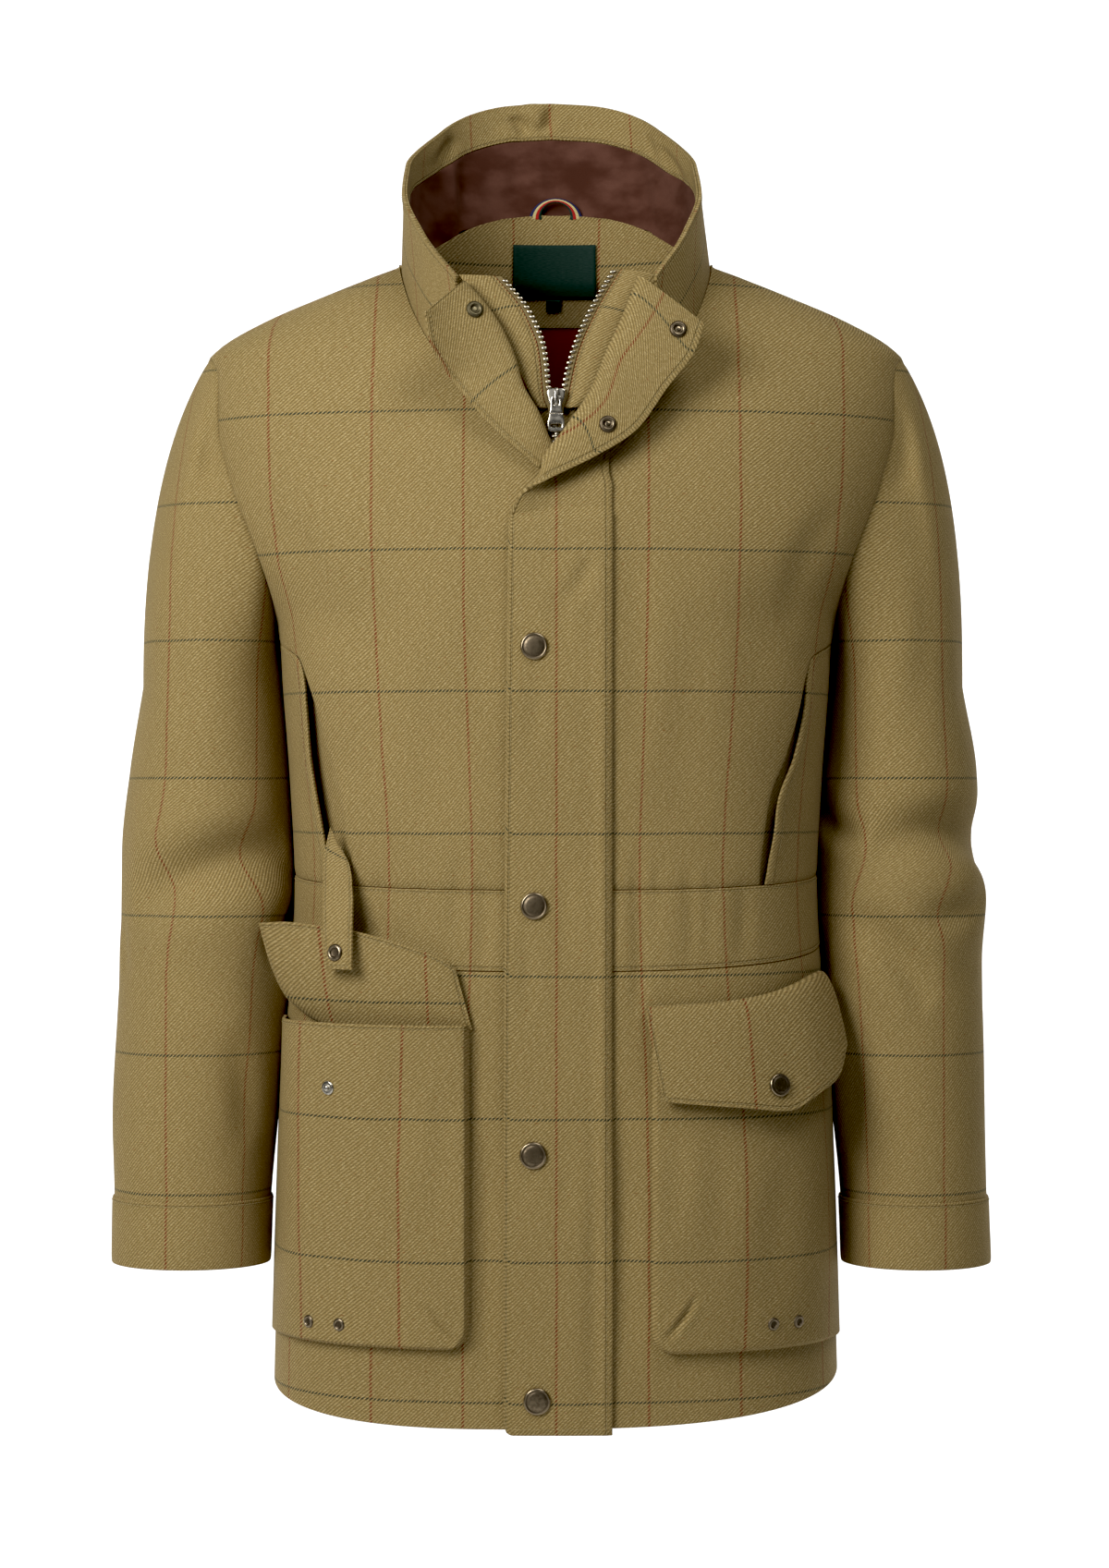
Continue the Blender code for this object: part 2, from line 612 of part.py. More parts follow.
def collar():
    """Stand collar: its tweed outside, the tweed band inside its rim and the suede lining below."""
    along = np.linspace(-1, 1, 28)
    body_sheet("collar_outer", collar_points(along, np.linspace(0, 1, 5), 0.0))
    inside = WALL + LAYER_GAP
    band = collar_points(along, np.linspace(1 - BAND_SHARE, 1, 3), inside)
    body_sheet("collar_band", band, THIN_WALL)
    lining = collar_points(along, np.linspace(0.08, 1 - BAND_SHARE - 0.006, 4), inside)[:, 1:-1]
    body_sheet("collar_lining", lining, THIN_WALL, "suede")


def inside_back(name, top, foot, half, depth, colour, columns, rows):
    """Cloth that lies inside the back panel, held clear of the neck's edge."""
    heights = np.linspace(foot, top, rows)
    neck_x = np.where(heights > 0, neck_at(heights, False, 0), half)
    reach = np.minimum(half, neck_x - 6 * MM)
    starts = angle_at_x(reach, heights)
    angles = spread(heights, starts - math.pi, -starts, np.linspace(0, 1, columns))
    z = np.broadcast_to(heights[:, None], angles.shape)
    points = torso(angles, z) - torso_normal(angles, z) * depth
    body_sheet(name, points, THIN_WALL, colour)


def neck_inside():
    """Neck facing, the lining below it, the woven label and its small tab."""
    depth = WALL + INNER_GAP
    inside_back("neck_facing", depth=depth, colour="tweed", columns=13, rows=6, **NECK_FACING)
    inside_back("body_lining", depth=depth, colour="rust_lining", columns=11, rows=6, **BODY_LINING)
    label_depth = depth + THIN_WALL + INNER_GAP
    for name, box in (("neck_label", LABEL), ("size_tab", SIZE_TAB)):
        across = np.linspace(box["left"], box["right"], 5) * MM
        heights = np.linspace(box["foot"], box["top"], 4) * MM
        x, z = np.meshgrid(across, heights)
        angle = np.where(x < 0, angle_at_x(x, z) - math.pi, -angle_at_x(x, z))
        points = torso(angle, z) - torso_normal(angle, z) * label_depth
        body_sheet(name, points, THIN_WALL / 2, "green_label")


def hanger_loop():
    """Cord loop sewn in at the foot of the collar's lining."""
    arc = np.linspace(0, math.pi, 9)
    wall_y = collar_base(np.zeros(1))[0, 1]
    base_y = wall_y - WALL - LAYER_GAP - THIN_WALL - LAYER_GAP - LOOP_RADIUS
    curve = bpy.data.curves.new("hanger_loop", "CURVE")
    curve.dimensions = "3D"
    curve.bevel_depth = LOOP_RADIUS
    curve.bevel_resolution = 1
    curve.use_fill_caps = True
    line = curve.splines.new("POLY")
    line.points.add(len(arc) - 1)
    for point, turn in zip(line.points, arc):
        rise = LOOP_RISE * math.sin(turn)
        place = (LOOP_HALF * math.cos(turn), base_y + 0.1 * rise, COLLAR[0, 1] + rise)
        point.co = (*place, 1)
    keep("hanger_loop", curve, "striped_cord")


def turned_rows(table, turn):
    """Cross-sections of a turned-back edge: seam to fold, then a roll and on to the free edge."""
    seam, fold, edge = table[:, 0:3], table[:, 3:6], table[:, 6:9]
    roll = np.array([0.0, -1.0, 0.0]) * LAPEL_ROLL
    turn = turn[:, None]
    near = fold - roll / 2 * turn + (seam - fold) / 2 * (1 - turn)
    far = fold + roll * turn + (edge - fold) / 2 * (1 - turn)
    columns = []
    for t in np.linspace(0, 1, 5)[:-1]:
        columns.append(seam * (1 - t) ** 2 + near * 2 * t * (1 - t) + fold * t * t)
    for t in np.linspace(0, 1, 6):
        columns.append(fold * (1 - t) ** 2 + far * 2 * t * (1 - t) + edge * t * t)
    return np.stack(columns, axis=1)


def refined(table, turn, rows):
    """More rows through a lapel's table."""
    knots = np.linspace(0, 1, len(table))
    at = np.linspace(0, 1, rows)
    return smooth(knots, table, at), smooth(knots, turn, at)[:, 0]


def torso_front(x, z, lift):
    """Points on the front, moved out."""
    angle = np.where(x < 0, math.pi - angle_at_x(x, z), angle_at_x(x, z))
    return torso(angle, z) + torso_normal(angle, z) * np.asarray(lift)[..., None]


def storm_flap():
    """Flap over the zip from the hem to the breast, where its top turns back as a lapel."""
    top = turned_rows(*refined(LAPEL_LEFT, LAPEL_LEFT_TURN, 11))
    foot_z = hem(math.pi / 2) - 3 * MM
    share = np.linspace(0, 1, FLAP_LOW_ROWS + 1)[:-1, None]
    across = np.linspace(FLAP_SEAM_X, FLAP_EDGE_X, top.shape[1])[None, :]
    x = across + (top[0, :, 0] - across) * share ** 3
    z = foot_z + (top[0, :, 2] - foot_z) * share
    low = torso_front(x, z, np.full_like(x, FLAP_LIFT))
    points = np.concatenate([low, top])
    behind = np.array([0.0, 1.0, points[0, 0, 2]])
    sheet("storm_flap", points, FLAP_WALL, "tweed", faces_in(low, behind))
    return points


def underlap():
    """The other front's edge, turned back as the second lapel."""
    points = turned_rows(*refined(LAPEL_RIGHT, LAPEL_RIGHT_TURN, 11))
    behind = np.array([0.0, 1.0, points[0, 0, 2]])
    sheet("underlap", points, UNDERLAP_WALL, "tweed", faces_in(points[:, :4], behind))
    return points


def zip_sides(side_name, table):
    """Tape along the teeth, and the tweed strip between it and the lapel's fold."""
    knots = np.linspace(0, 1, len(table))
    rows = smooth(knots, table, np.linspace(0, 1, 15))
    teeth, outer = rows[:, :3], rows[:, 3:]
    across = outer - teeth
    width = np.linalg.norm(across, axis=-1, keepdims=True)
    seam = teeth + across / width * TAPE_WIDTH
    tape = np.stack([teeth, (teeth + seam) / 2, seam], axis=1)
    behind = np.array([0.0, 1.0, 0.0])
    sheet("zip_tape_" + side_name, tape, THIN_WALL, "zip_tape", faces_in(tape, behind))
    start = seam + across / width * SEAM
    first = STRIP_FROM_ROW * 3
    bulge = np.array([0.0, -1.0, 0.0]) * 1.5 * MM
    columns = []
    for t in np.linspace(0, 1, 5):
        columns.append(start + (outer - start) * t + bulge * math.sin(math.pi * t))
    strip = np.stack(columns, axis=1)[first:]
    sheet("zip_strip_" + side_name, strip, WALL, "tweed", faces_in(strip, behind))


def pocket(name, side, inner, top, bottom, gusset, swell, open_mouth):
    """Bellows pocket: the skirt's points moved out, with gusset walls and a swelling face."""
    steps = np.array([0.0, 0.5, 1.0]) * POCKET_GUSSET_WIDTH
    height = (top - bottom) * MM
    heights = bottom * MM + np.concatenate([steps, np.linspace(2 * POCKET_GUSSET_WIDTH, height, 7)])
    above = np.clip(POCKET_CORNER - (heights - bottom * MM), 0, POCKET_CORNER)
    cut_in = POCKET_CORNER - np.sqrt(POCKET_CORNER ** 2 - above ** 2)
    starts = angle_at_x(inner * MM + cut_in, heights)
    ends = angle_at_y(np.full_like(heights, POCKET_SIDE_Y), heights)
    edge = np.array([0.0, 0.02, 0.04])
    shares = np.concatenate([edge, np.linspace(0.1, 0.9, 8), 1 - edge[::-1]])
    angles = spread(heights, starts, ends, shares)
    z = np.broadcast_to(heights[:, None], angles.shape)
    up = ((heights - bottom * MM) / height)[:, None]
    across = (smooth_step(shares / edge[-1]) * smooth_step((1 - shares) / POCKET_SIDE_FADE))[None, :]
    rise = smooth_step((heights - bottom * MM) / POCKET_GUSSET_WIDTH)[:, None]
    shape = up ** 1.6 if open_mouth else np.sin(math.pi * up)
    face = swell * MM * shape * np.sin(math.pi * shares)[None, :] ** 0.8
    lift = POCKET_EDGE_LIFT + (gusset * MM + face) * across * rise
    points = torso(angles, z) + torso_normal(angles, z) * lift[..., None]
    points = mirrored(points, side)
    body_sheet(name, points)
    return points


def pocket_flap(name, table):
    """Flap: rows from root to free edge, each lifted off the skirt by its own amount."""
    knots = np.linspace(0, 1, len(table))
    rows = smooth(knots, table, np.linspace(0, 1, 13))
    x, root, free, root_lift, free_lift = rows.T
    share = np.linspace(0, 1, 6)[:, None]
    z = root + (free - root) * share
    lift = root_lift + (free_lift - root_lift) * share ** 0.5
    points = torso_front(np.broadcast_to(x, z.shape), z, lift)
    body_sheet(name, points)
    return points


def hold_strap():
    """Strap from the right hand slit that holds the raised flap, twisting as it leaves the slit."""
    knots = np.linspace(0, 1, len(HOLD_STRAP))
    rows = smooth(knots, HOLD_STRAP, np.linspace(0, 1, 11))
    x, z, lift, wide, tall = rows.T
    across = np.linspace(-1, 1, 4)
    grid_x = x[:, None] + wide[:, None] * across
    grid_z = z[:, None] + tall[:, None] * across
    points = torso_front(grid_x, grid_z, np.broadcast_to(lift[:, None], grid_x.shape))
    body_sheet("hold_strap", points)
    return points


def hand_facing(name, side, slit_column):
    """Cloth that shows through the open slit."""
    heights = np.linspace(-404, -280, 7) * MM
    slit_x, slit_half = slit_edge(heights, slit_column)
    margin = slit_half + 9 * MM
    starts = angle_at_x(slit_x - margin, heights)
    ends = angle_at_x(slit_x + margin, heights)
    angles = spread(heights, starts, ends, np.linspace(0, 1, 4))
    z = np.broadcast_to(heights[:, None], angles.shape)
    points = torso(angles, z) - torso_normal(angles, z) * (WALL + 1.5 * INNER_GAP)
    body_sheet(name, mirrored(points, side), THIN_WALL)


def seat(points, x, z):
    """Place and direction on the frontmost facet of a grid at this x and z, in millimetres."""
    middle = (points[:-1, :-1] + points[1:, 1:] + points[:-1, 1:] + points[1:, :-1]) / 4
    normal = np.cross(points[1:, 1:] - points[:-1, :-1], points[1:, :-1] - points[:-1, 1:])
    normal /= np.linalg.norm(normal, axis=-1, keepdims=True)
    normal *= -np.sign(normal[..., 1:2])
    apart = np.hypot(middle[..., 0] - x * MM, middle[..., 2] - z * MM) + middle[..., 1] / 2
    found = np.unravel_index(np.argmin(apart), apart.shape)
    at, way = middle[found], normal[found]
    y = at[1] - (way[0] * (x * MM - at[0]) + way[2] * (z * MM - at[2])) / way[1]
    return Vector((x * MM, y, z * MM)), Vector(way)


def turned(name, profile, closed, colour, place, lift):
    """Round piece: a profile turned about its axis and set on the cloth."""
    mesh = bpy.data.meshes.new(name)
    count = len(profile)
    edges = [(i, i + 1) for i in range(count - 1)]
    if closed:
        edges.append((count - 1, 0))
    mesh.from_pydata([(radius, 0.0, height) for radius, height in profile], edges, [])
    made = keep(name, mesh, colour)
    screw = made.modifiers.new("turn", "SCREW")
    screw.steps = ROUND_STEPS
    screw.render_steps = ROUND_STEPS
    screw.use_merge_vertices = True
    screw.merge_threshold = 0.00001
    at, way = place
    made.location = at + way * lift
    made.rotation_euler = way.to_track_quat("Z", "Y").to_euler()


def cap(name, place, lift, radius=CAP_RADIUS, height=CAP_HEIGHT):
    """Snap cap: a low dome with a rounded rim."""
    profile = [(0, height), (radius * 0.7, height * 0.92), (radius * 0.93, height * 0.62)]
    profile += [(radius, height * 0.3), (radius * 0.96, 0), (0, 0)]
    turned(name, profile, False, "antique_brass", place, lift)


def ring(name, place, lift, radius, hole, height):
    """Snap socket or eyelet: a rounded ring."""
    middle = (radius + hole) / 2
    profile = [(middle, height), (radius, height * 0.4), (radius, 0), (hole, 0)]
    turned(name, profile, True, "antique_brass", place, lift)


def trims(flap_points, underlap_points, pockets, closed_flap, strap_points):
    """Caps, sockets, stud and eyelets on the cloth that carries them."""
    for number, place in enumerate(FLAP_CAPS, start=1):
        cap(f"flap_cap_{number}", seat(flap_points, *place), TRIM_LIFT)
    cap("pocket_cap_left", seat(closed_flap, *POCKET_CAP), TRIM_LIFT, POCKET_CAP_RADIUS)
    cap("pocket_stud", seat(pockets["right"], *POCKET_STUD), TRIM_LIFT, STUD_RADIUS, STUD_HEIGHT)
    socket = (SOCKET_RADIUS, SOCKET_HOLE, SOCKET_HEIGHT)
    lapel_lift = FLAP_WALL + TRIM_LIFT
    ring("socket_lapel_top", seat(flap_points, *LAPEL_TOP_SOCKET), lapel_lift, *socket)
    ring("socket_lapel_low", seat(flap_points, *LAPEL_LOW_SOCKET), lapel_lift, *socket)
    ring("socket_underlap", seat(underlap_points, *UNDERLAP_SOCKET), UNDERLAP_WALL + TRIM_LIFT, *socket)
    ring("socket_strap", seat(strap_points, *STRAP_SOCKET), TRIM_LIFT, *socket)
    eyelet = (EYELET_RADIUS, EYELET_HOLE, EYELET_HEIGHT)
    for side, places in EYELETS.items():
        for number, x in enumerate(places, start=1):
            ring(f"eyelet_{side}_{number}", seat(pockets[side], x, EYELET_Z), TRIM_LIFT, *eyelet)


def box(name, size, centre):
    """Plain block as a mesh object outside the coat's collection, for joining."""
    mesh = bpy.data.meshes.new(name)
    cells = bmesh.new()
    bmesh.ops.create_cube(cells, size=1.0)
    for vertex in cells.verts:
        vertex.co = Vector([c * s for c, s in zip(vertex.co, size)]) + Vector(centre)
    cells.to_mesh(mesh)
    cells.free()
    return bpy.data.objects.new(name, mesh)


def zip_slider():
    """Slider with a bridge in front of it that holds the bar of its pull."""
    wide, deep, tall = SLIDER_SIZE
    slider = box("zip_slider", SLIDER_SIZE, SLIDER_CENTRE)
    slider.data.materials.append(material("gunmetal"))
    bpy.data.collections[COLLECTION].objects.link(slider)
    bar_place = SLIDER_CENTRE + Vector((0, -deep / 2 - BRIDGE_ROOM / 2, 0))
    reach = BRIDGE_ROOM + BRIDGE_BAR
    post = (BRIDGE_WIDTH, reach + deep / 2, BRIDGE_BAR)
    post_y = BRIDGE_ROOM / 2 + deep / 4 - reach / 2
    front = (BRIDGE_WIDTH, BRIDGE_BAR, BRIDGE_TOP - BRIDGE_FOOT + 2 * BRIDGE_BAR)
    pieces = [
        box("bridge_top", post, bar_place + Vector((0, post_y, BRIDGE_TOP + BRIDGE_BAR / 2))),
        box("bridge_foot", post, bar_place + Vector((0, post_y, BRIDGE_FOOT - BRIDGE_BAR / 2))),
        box("bridge_front", front, bar_place + Vector((0, -reach / 2, (BRIDGE_TOP + BRIDGE_FOOT) / 2))),
    ]
    for piece in pieces:
        bpy.data.collections[COLLECTION + "_cutters"].objects.link(piece)
        piece.hide_render = True
        piece.display_type = "WIRE"
        join = slider.modifiers.new(piece.name, "BOOLEAN")
        join.operation = "UNION"
        join.object = piece
    zip_pull(bar_place)


def zip_pull(bar_place):
    """Flat tab whose top bar lies in the slider's bridge, hanging straight down."""
    curve = bpy.data.curves.new("zip_pull", "CURVE")
    curve.dimensions = "2D"
    curve.fill_mode = "BOTH"
    curve.extrude = PULL_THICK / 2
    half, head, foot = PULL_WIDTH / 2, PULL_BAR, PULL_BAR - PULL_LENGTH
    outline = [(-half * 0.7, head), (half * 0.7, head), (half, head - PULL_CORNER), (half, foot + PULL_CORNER),
               (half - PULL_CORNER, foot), (PULL_CORNER - half, foot), (-half, foot + PULL_CORNER),
               (-half, head - PULL_CORNER)]
    eye_half, eye_top, eye_foot = PULL_EYE_WIDTH / 2, -PULL_BAR, -PULL_BAR - PULL_EYE_LENGTH
    eye = [(-eye_half, eye_top), (eye_half, eye_top), (eye_half, eye_foot), (-eye_half, eye_foot)]
    for points in (outline, eye):
        line = curve.splines.new("POLY")
        line.points.add(len(points) - 1)
        line.use_cyclic_u = True
        for point, (x, y) in zip(line.points, points):
            point.co = (x, y, 0, 1)
    pull = keep("zip_pull", curve, "gunmetal")
    pull.location = bar_place
    pull.rotation_euler = (math.pi / 2, 0, 0)


def main():
    """Build the coat."""
    for old in list(bpy.data.objects):
        bpy.data.objects.remove(old, do_unlink=True)
    for name in (COLLECTION, COLLECTION + "_cutters"):
        bpy.context.scene.collection.children.link(bpy.data.collections.new(name))
    back_panel()
    for side_name, side, slit_column in (("right", -1, 1), ("left", 1, 2)):
        front_panel("front_" + side_name, side, slit_column)
        side_panel("side_" + side_name, side, slit_column)
        belt_panel("waistband_" + side_name, side, waist_low, waist_top, 4)
        belt_panel("skirt_" + side_name, side, hem, waist_low, 8)
        sleeve("sleeve_" + side_name, side, SLEEVES[side_name])
        cuff("cuff_" + side_name, side, SLEEVES[side_name])
        hand_facing("hand_facing_" + side_name, side, slit_column)
    collar()
    neck_inside()
    hanger_loop()
    flap_points = storm_flap()
    underlap_points = underlap()
    zip_sides("left", ZIP_LEFT)
    zip_sides("right", ZIP_RIGHT)
    zip_slider()
    pockets = {name: pocket("pocket_" + name, **sizes) for name, sizes in POCKETS.items()}
    closed_flap = pocket_flap("pocket_flap_left", FLAP_CLOSED)
    pocket_flap("pocket_flap_right", FLAP_RAISED)
    strap_points = hold_strap()
    trims(flap_points, underlap_points, pockets, closed_flap, strap_points)


main()
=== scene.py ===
"""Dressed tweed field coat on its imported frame: cloth shells, sewing, zip, snaps and a plain studio.

Lengths are metres, +Z is up, the front faces -Y and the wearer's left is +X.  Tables are in
millimetres, one row for each section or crease, and MM scales them.
"""

import logging
import math
from dataclasses import dataclass, field, replace
from enum import Enum
from functools import cache
from typing import Callable

import bpy
import numpy as np
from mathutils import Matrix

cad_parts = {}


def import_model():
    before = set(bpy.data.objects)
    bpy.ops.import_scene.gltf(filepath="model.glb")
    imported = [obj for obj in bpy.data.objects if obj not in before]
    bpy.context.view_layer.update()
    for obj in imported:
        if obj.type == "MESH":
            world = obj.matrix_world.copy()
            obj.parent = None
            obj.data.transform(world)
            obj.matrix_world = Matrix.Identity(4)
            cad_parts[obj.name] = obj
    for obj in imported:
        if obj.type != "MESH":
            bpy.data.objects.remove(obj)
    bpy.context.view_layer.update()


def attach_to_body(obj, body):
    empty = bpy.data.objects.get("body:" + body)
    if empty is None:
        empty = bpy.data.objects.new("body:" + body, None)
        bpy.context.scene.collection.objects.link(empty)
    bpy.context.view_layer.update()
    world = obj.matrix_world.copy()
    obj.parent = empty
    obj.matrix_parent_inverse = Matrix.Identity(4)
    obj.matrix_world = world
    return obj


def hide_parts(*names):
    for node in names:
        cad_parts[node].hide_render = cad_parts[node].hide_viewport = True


LOG = logging.getLogger("field_coat")

Array = np.ndarray
Pair = tuple[float, float]
Triple = tuple[float, float, float]
Quad = tuple[float, float, float, float]
Colour = Quad
Socket = bpy.types.NodeSocket
Material = bpy.types.Material
Thing = bpy.types.Object

MM = 0.001
ROOT_BODY, PULL_BODY = "coat", "pull"

WALL, THIN_WALL = 2.0 * MM, 1.2 * MM
SEAM, SEAM_LAP = 0.3 * MM, 0.8 * MM
LAYER_GAP, INNER_GAP = 0.5 * MM, 1.3 * MM


class Side(Enum):
    """One half of the coat, as the wearer sees it."""

    RIGHT = -1
    LEFT = 1

    @property
    def word(self) -> str:
        """The side's name as the frame's nodes use it."""
        return self.name.lower()


class Held(Enum):
    """How a sewn piece of cloth is held in its shape."""

    HUNG = "hung"
    STRETCHED = "stretched"
    FOLDED = "folded"
    LAID = "laid"


def smooth(knots: Array, values: Array, at: Array) -> Array:
    """Cubic through rising knots whose slopes are harmonic means, so that it never overshoots.

    Args:
        knots: Rising positions of the known values.
        values: One row for each knot, with one or more columns.
        at: Positions to find, of any shape.

    Returns:
        The values at each position, with the columns last.
    """
    values = np.asarray(values, dtype=float).reshape(len(knots), -1)
    rise = np.diff(values, axis=0) / np.diff(knots)[:, None]
    slope = np.vstack([rise[:1], (rise[:-1] + rise[1:]) / 2, rise[-1:]])
    product = rise[:-1] * rise[1:]
    total = np.where(np.abs(rise[:-1] + rise[1:]) < 1e-12, 1, rise[:-1] + rise[1:])
    slope[1:-1] = np.where(product > 0, 2 * product / total, 0)
    at = np.clip(np.asarray(at, dtype=float), knots[0], knots[-1])
    left = np.clip(np.searchsorted(knots, at, side="right") - 1, 0, len(knots) - 2)
    width = np.diff(knots)[left][..., None]
    t = (at - knots[left])[..., None] / width
    start = values[left] * (1 + 2 * t) * (1 - t) ** 2 + slope[left] * width * t * (1 - t) ** 2
    end = values[left + 1] * t * t * (3 - 2 * t) + slope[left + 1] * width * t * t * (t - 1)
    return start + end


def smooth_step(value: Array) -> Array:
    """Ease from 0 to 1 as 3t squared less 2t cubed."""
    value = np.clip(value, 0, 1)
    return value * value * (3 - 2 * value)


def unit(vectors: Array) -> Array:
    """Vectors of length one."""
    return vectors / np.maximum(np.linalg.norm(vectors, axis=-1, keepdims=True), 1e-12)


def bell(away: Array, reach: float) -> Array:
    """Soft bell of a distance, 1 where there is none."""
    return np.exp(-((away / reach) ** 2))


def squared(value: Array, power: float | Array) -> Array:
    """Signed power of a sine or cosine, which squares off the circle that it draws."""
    return np.sign(value) * np.abs(value) ** power


def sampled(at: Array, run: Array, rows: Array) -> Array:
    """Rows of a path found at lengths along it."""
    return np.stack([np.interp(at, run, column) for column in rows.T], axis=-1)


def grid_normals(points: Array, closed: bool = False) -> Array:
    """Normals of a grid: its row direction crossed with its column direction.

    Args:
        points: Grid of places, rows by columns by three.
        closed: True where the last column joins the first.

    Returns:
        Unit vectors of the same shape as the points.
    """
    down = np.gradient(points, axis=0)
    if closed:
        across = np.roll(points, -1, axis=1) - np.roll(points, 1, axis=1)
    else:
        across = np.gradient(points, axis=1)
    return unit(np.cross(across, down))


def run_length(points: Array, axis: int) -> Array:
    """Length along a grid from its first row or column, the sum of the straight steps.

    Args:
        points: Grid of places.
        axis: 0 to measure down the rows, 1 to measure along the columns.

    Returns:
        One length for each point.
    """
    steps = np.linalg.norm(np.diff(points, axis=axis), axis=-1)
    start = np.zeros_like(steps.take([0], axis=axis))
    return np.concatenate([start, np.cumsum(steps, axis=axis)], axis=axis)


def edged(count: int, length: float) -> Array:
    """Shares from 0 to 1, even inside, with three close steps at each end where cloth turns under.

    Args:
        count: How many shares to give.
        length: Length that the shares run over, in metres.

    Returns:
        The rising shares.
    """
    close = np.array([0.0, 0.7, 1.8, 3.4]) * MM / length
    inner = np.linspace(close[-1], 1 - close[-1], count - 6)
    return np.concatenate([close[:-1], inner, 1 - close[-2::-1]])


@dataclass(frozen=True)
class Crease:
    """Soft trough (depth above zero) or ridge (below) along a bowed line on a flat chart.

    Attributes:
        u0: Start across, in the chart's units.
        v0: Start up.
        u1: End across.
        v1: End up.
        bow: How far the middle stands to the left of the straight line.
        half: Half width of the trough.
        depth: Depth in millimetres.
    """

    u0: float
    v0: float
    u1: float
    v1: float
    bow: float
    half: float
    depth: float

    def sink(self, u: Array, v: Array) -> Array:
        """Depth at chart points: a bell across the line, less a wide low one, times a bow along it.

        Args:
            u: Places across the chart.
            v: Places up the chart.

        Returns:
            Depth in millimetres at each place.
        """
        du, dv = self.u1 - self.u0, self.v1 - self.v0
        length = math.hypot(du, dv)
        along = ((u - self.u0) * du + (v - self.v0) * dv) / length**2
        side = ((v - self.v0) * du - (u - self.u0) * dv) / length
        away = side - self.bow * 4 * along * (1 - along)
        inside = np.clip(along, 0, 1)
        reach = np.sin(math.pi * inside) ** 0.7
        low, broad = 0.4, 2.4
        trough = bell(away, self.half) - low * bell(away, broad * self.half)
        return self.depth * reach * trough / (1 - low)


def creases(*rows: tuple[float, ...]) -> list[Crease]:
    """Creases of a table: start, end, bow, half width and depth in each row."""
    return [Crease(*row) for row in rows]


def creased(
    points: Array, u: Array, v: Array, rows: list[Crease], closed: bool = False
) -> Array:
    """Points pressed in along their normals by every crease.

    Args:
        points: Grid whose normals point outwards.
        u: Chart places across, in the creases' units.
        v: Chart places up.
        rows: The creases.
        closed: True where the last column joins the first.

    Returns:
        The moved grid.
    """
    total = np.zeros(points.shape[:2])
    for row in rows:
        total += row.sink(u, v)
    return points - grid_normals(points, closed) * (total * MM)[..., None]


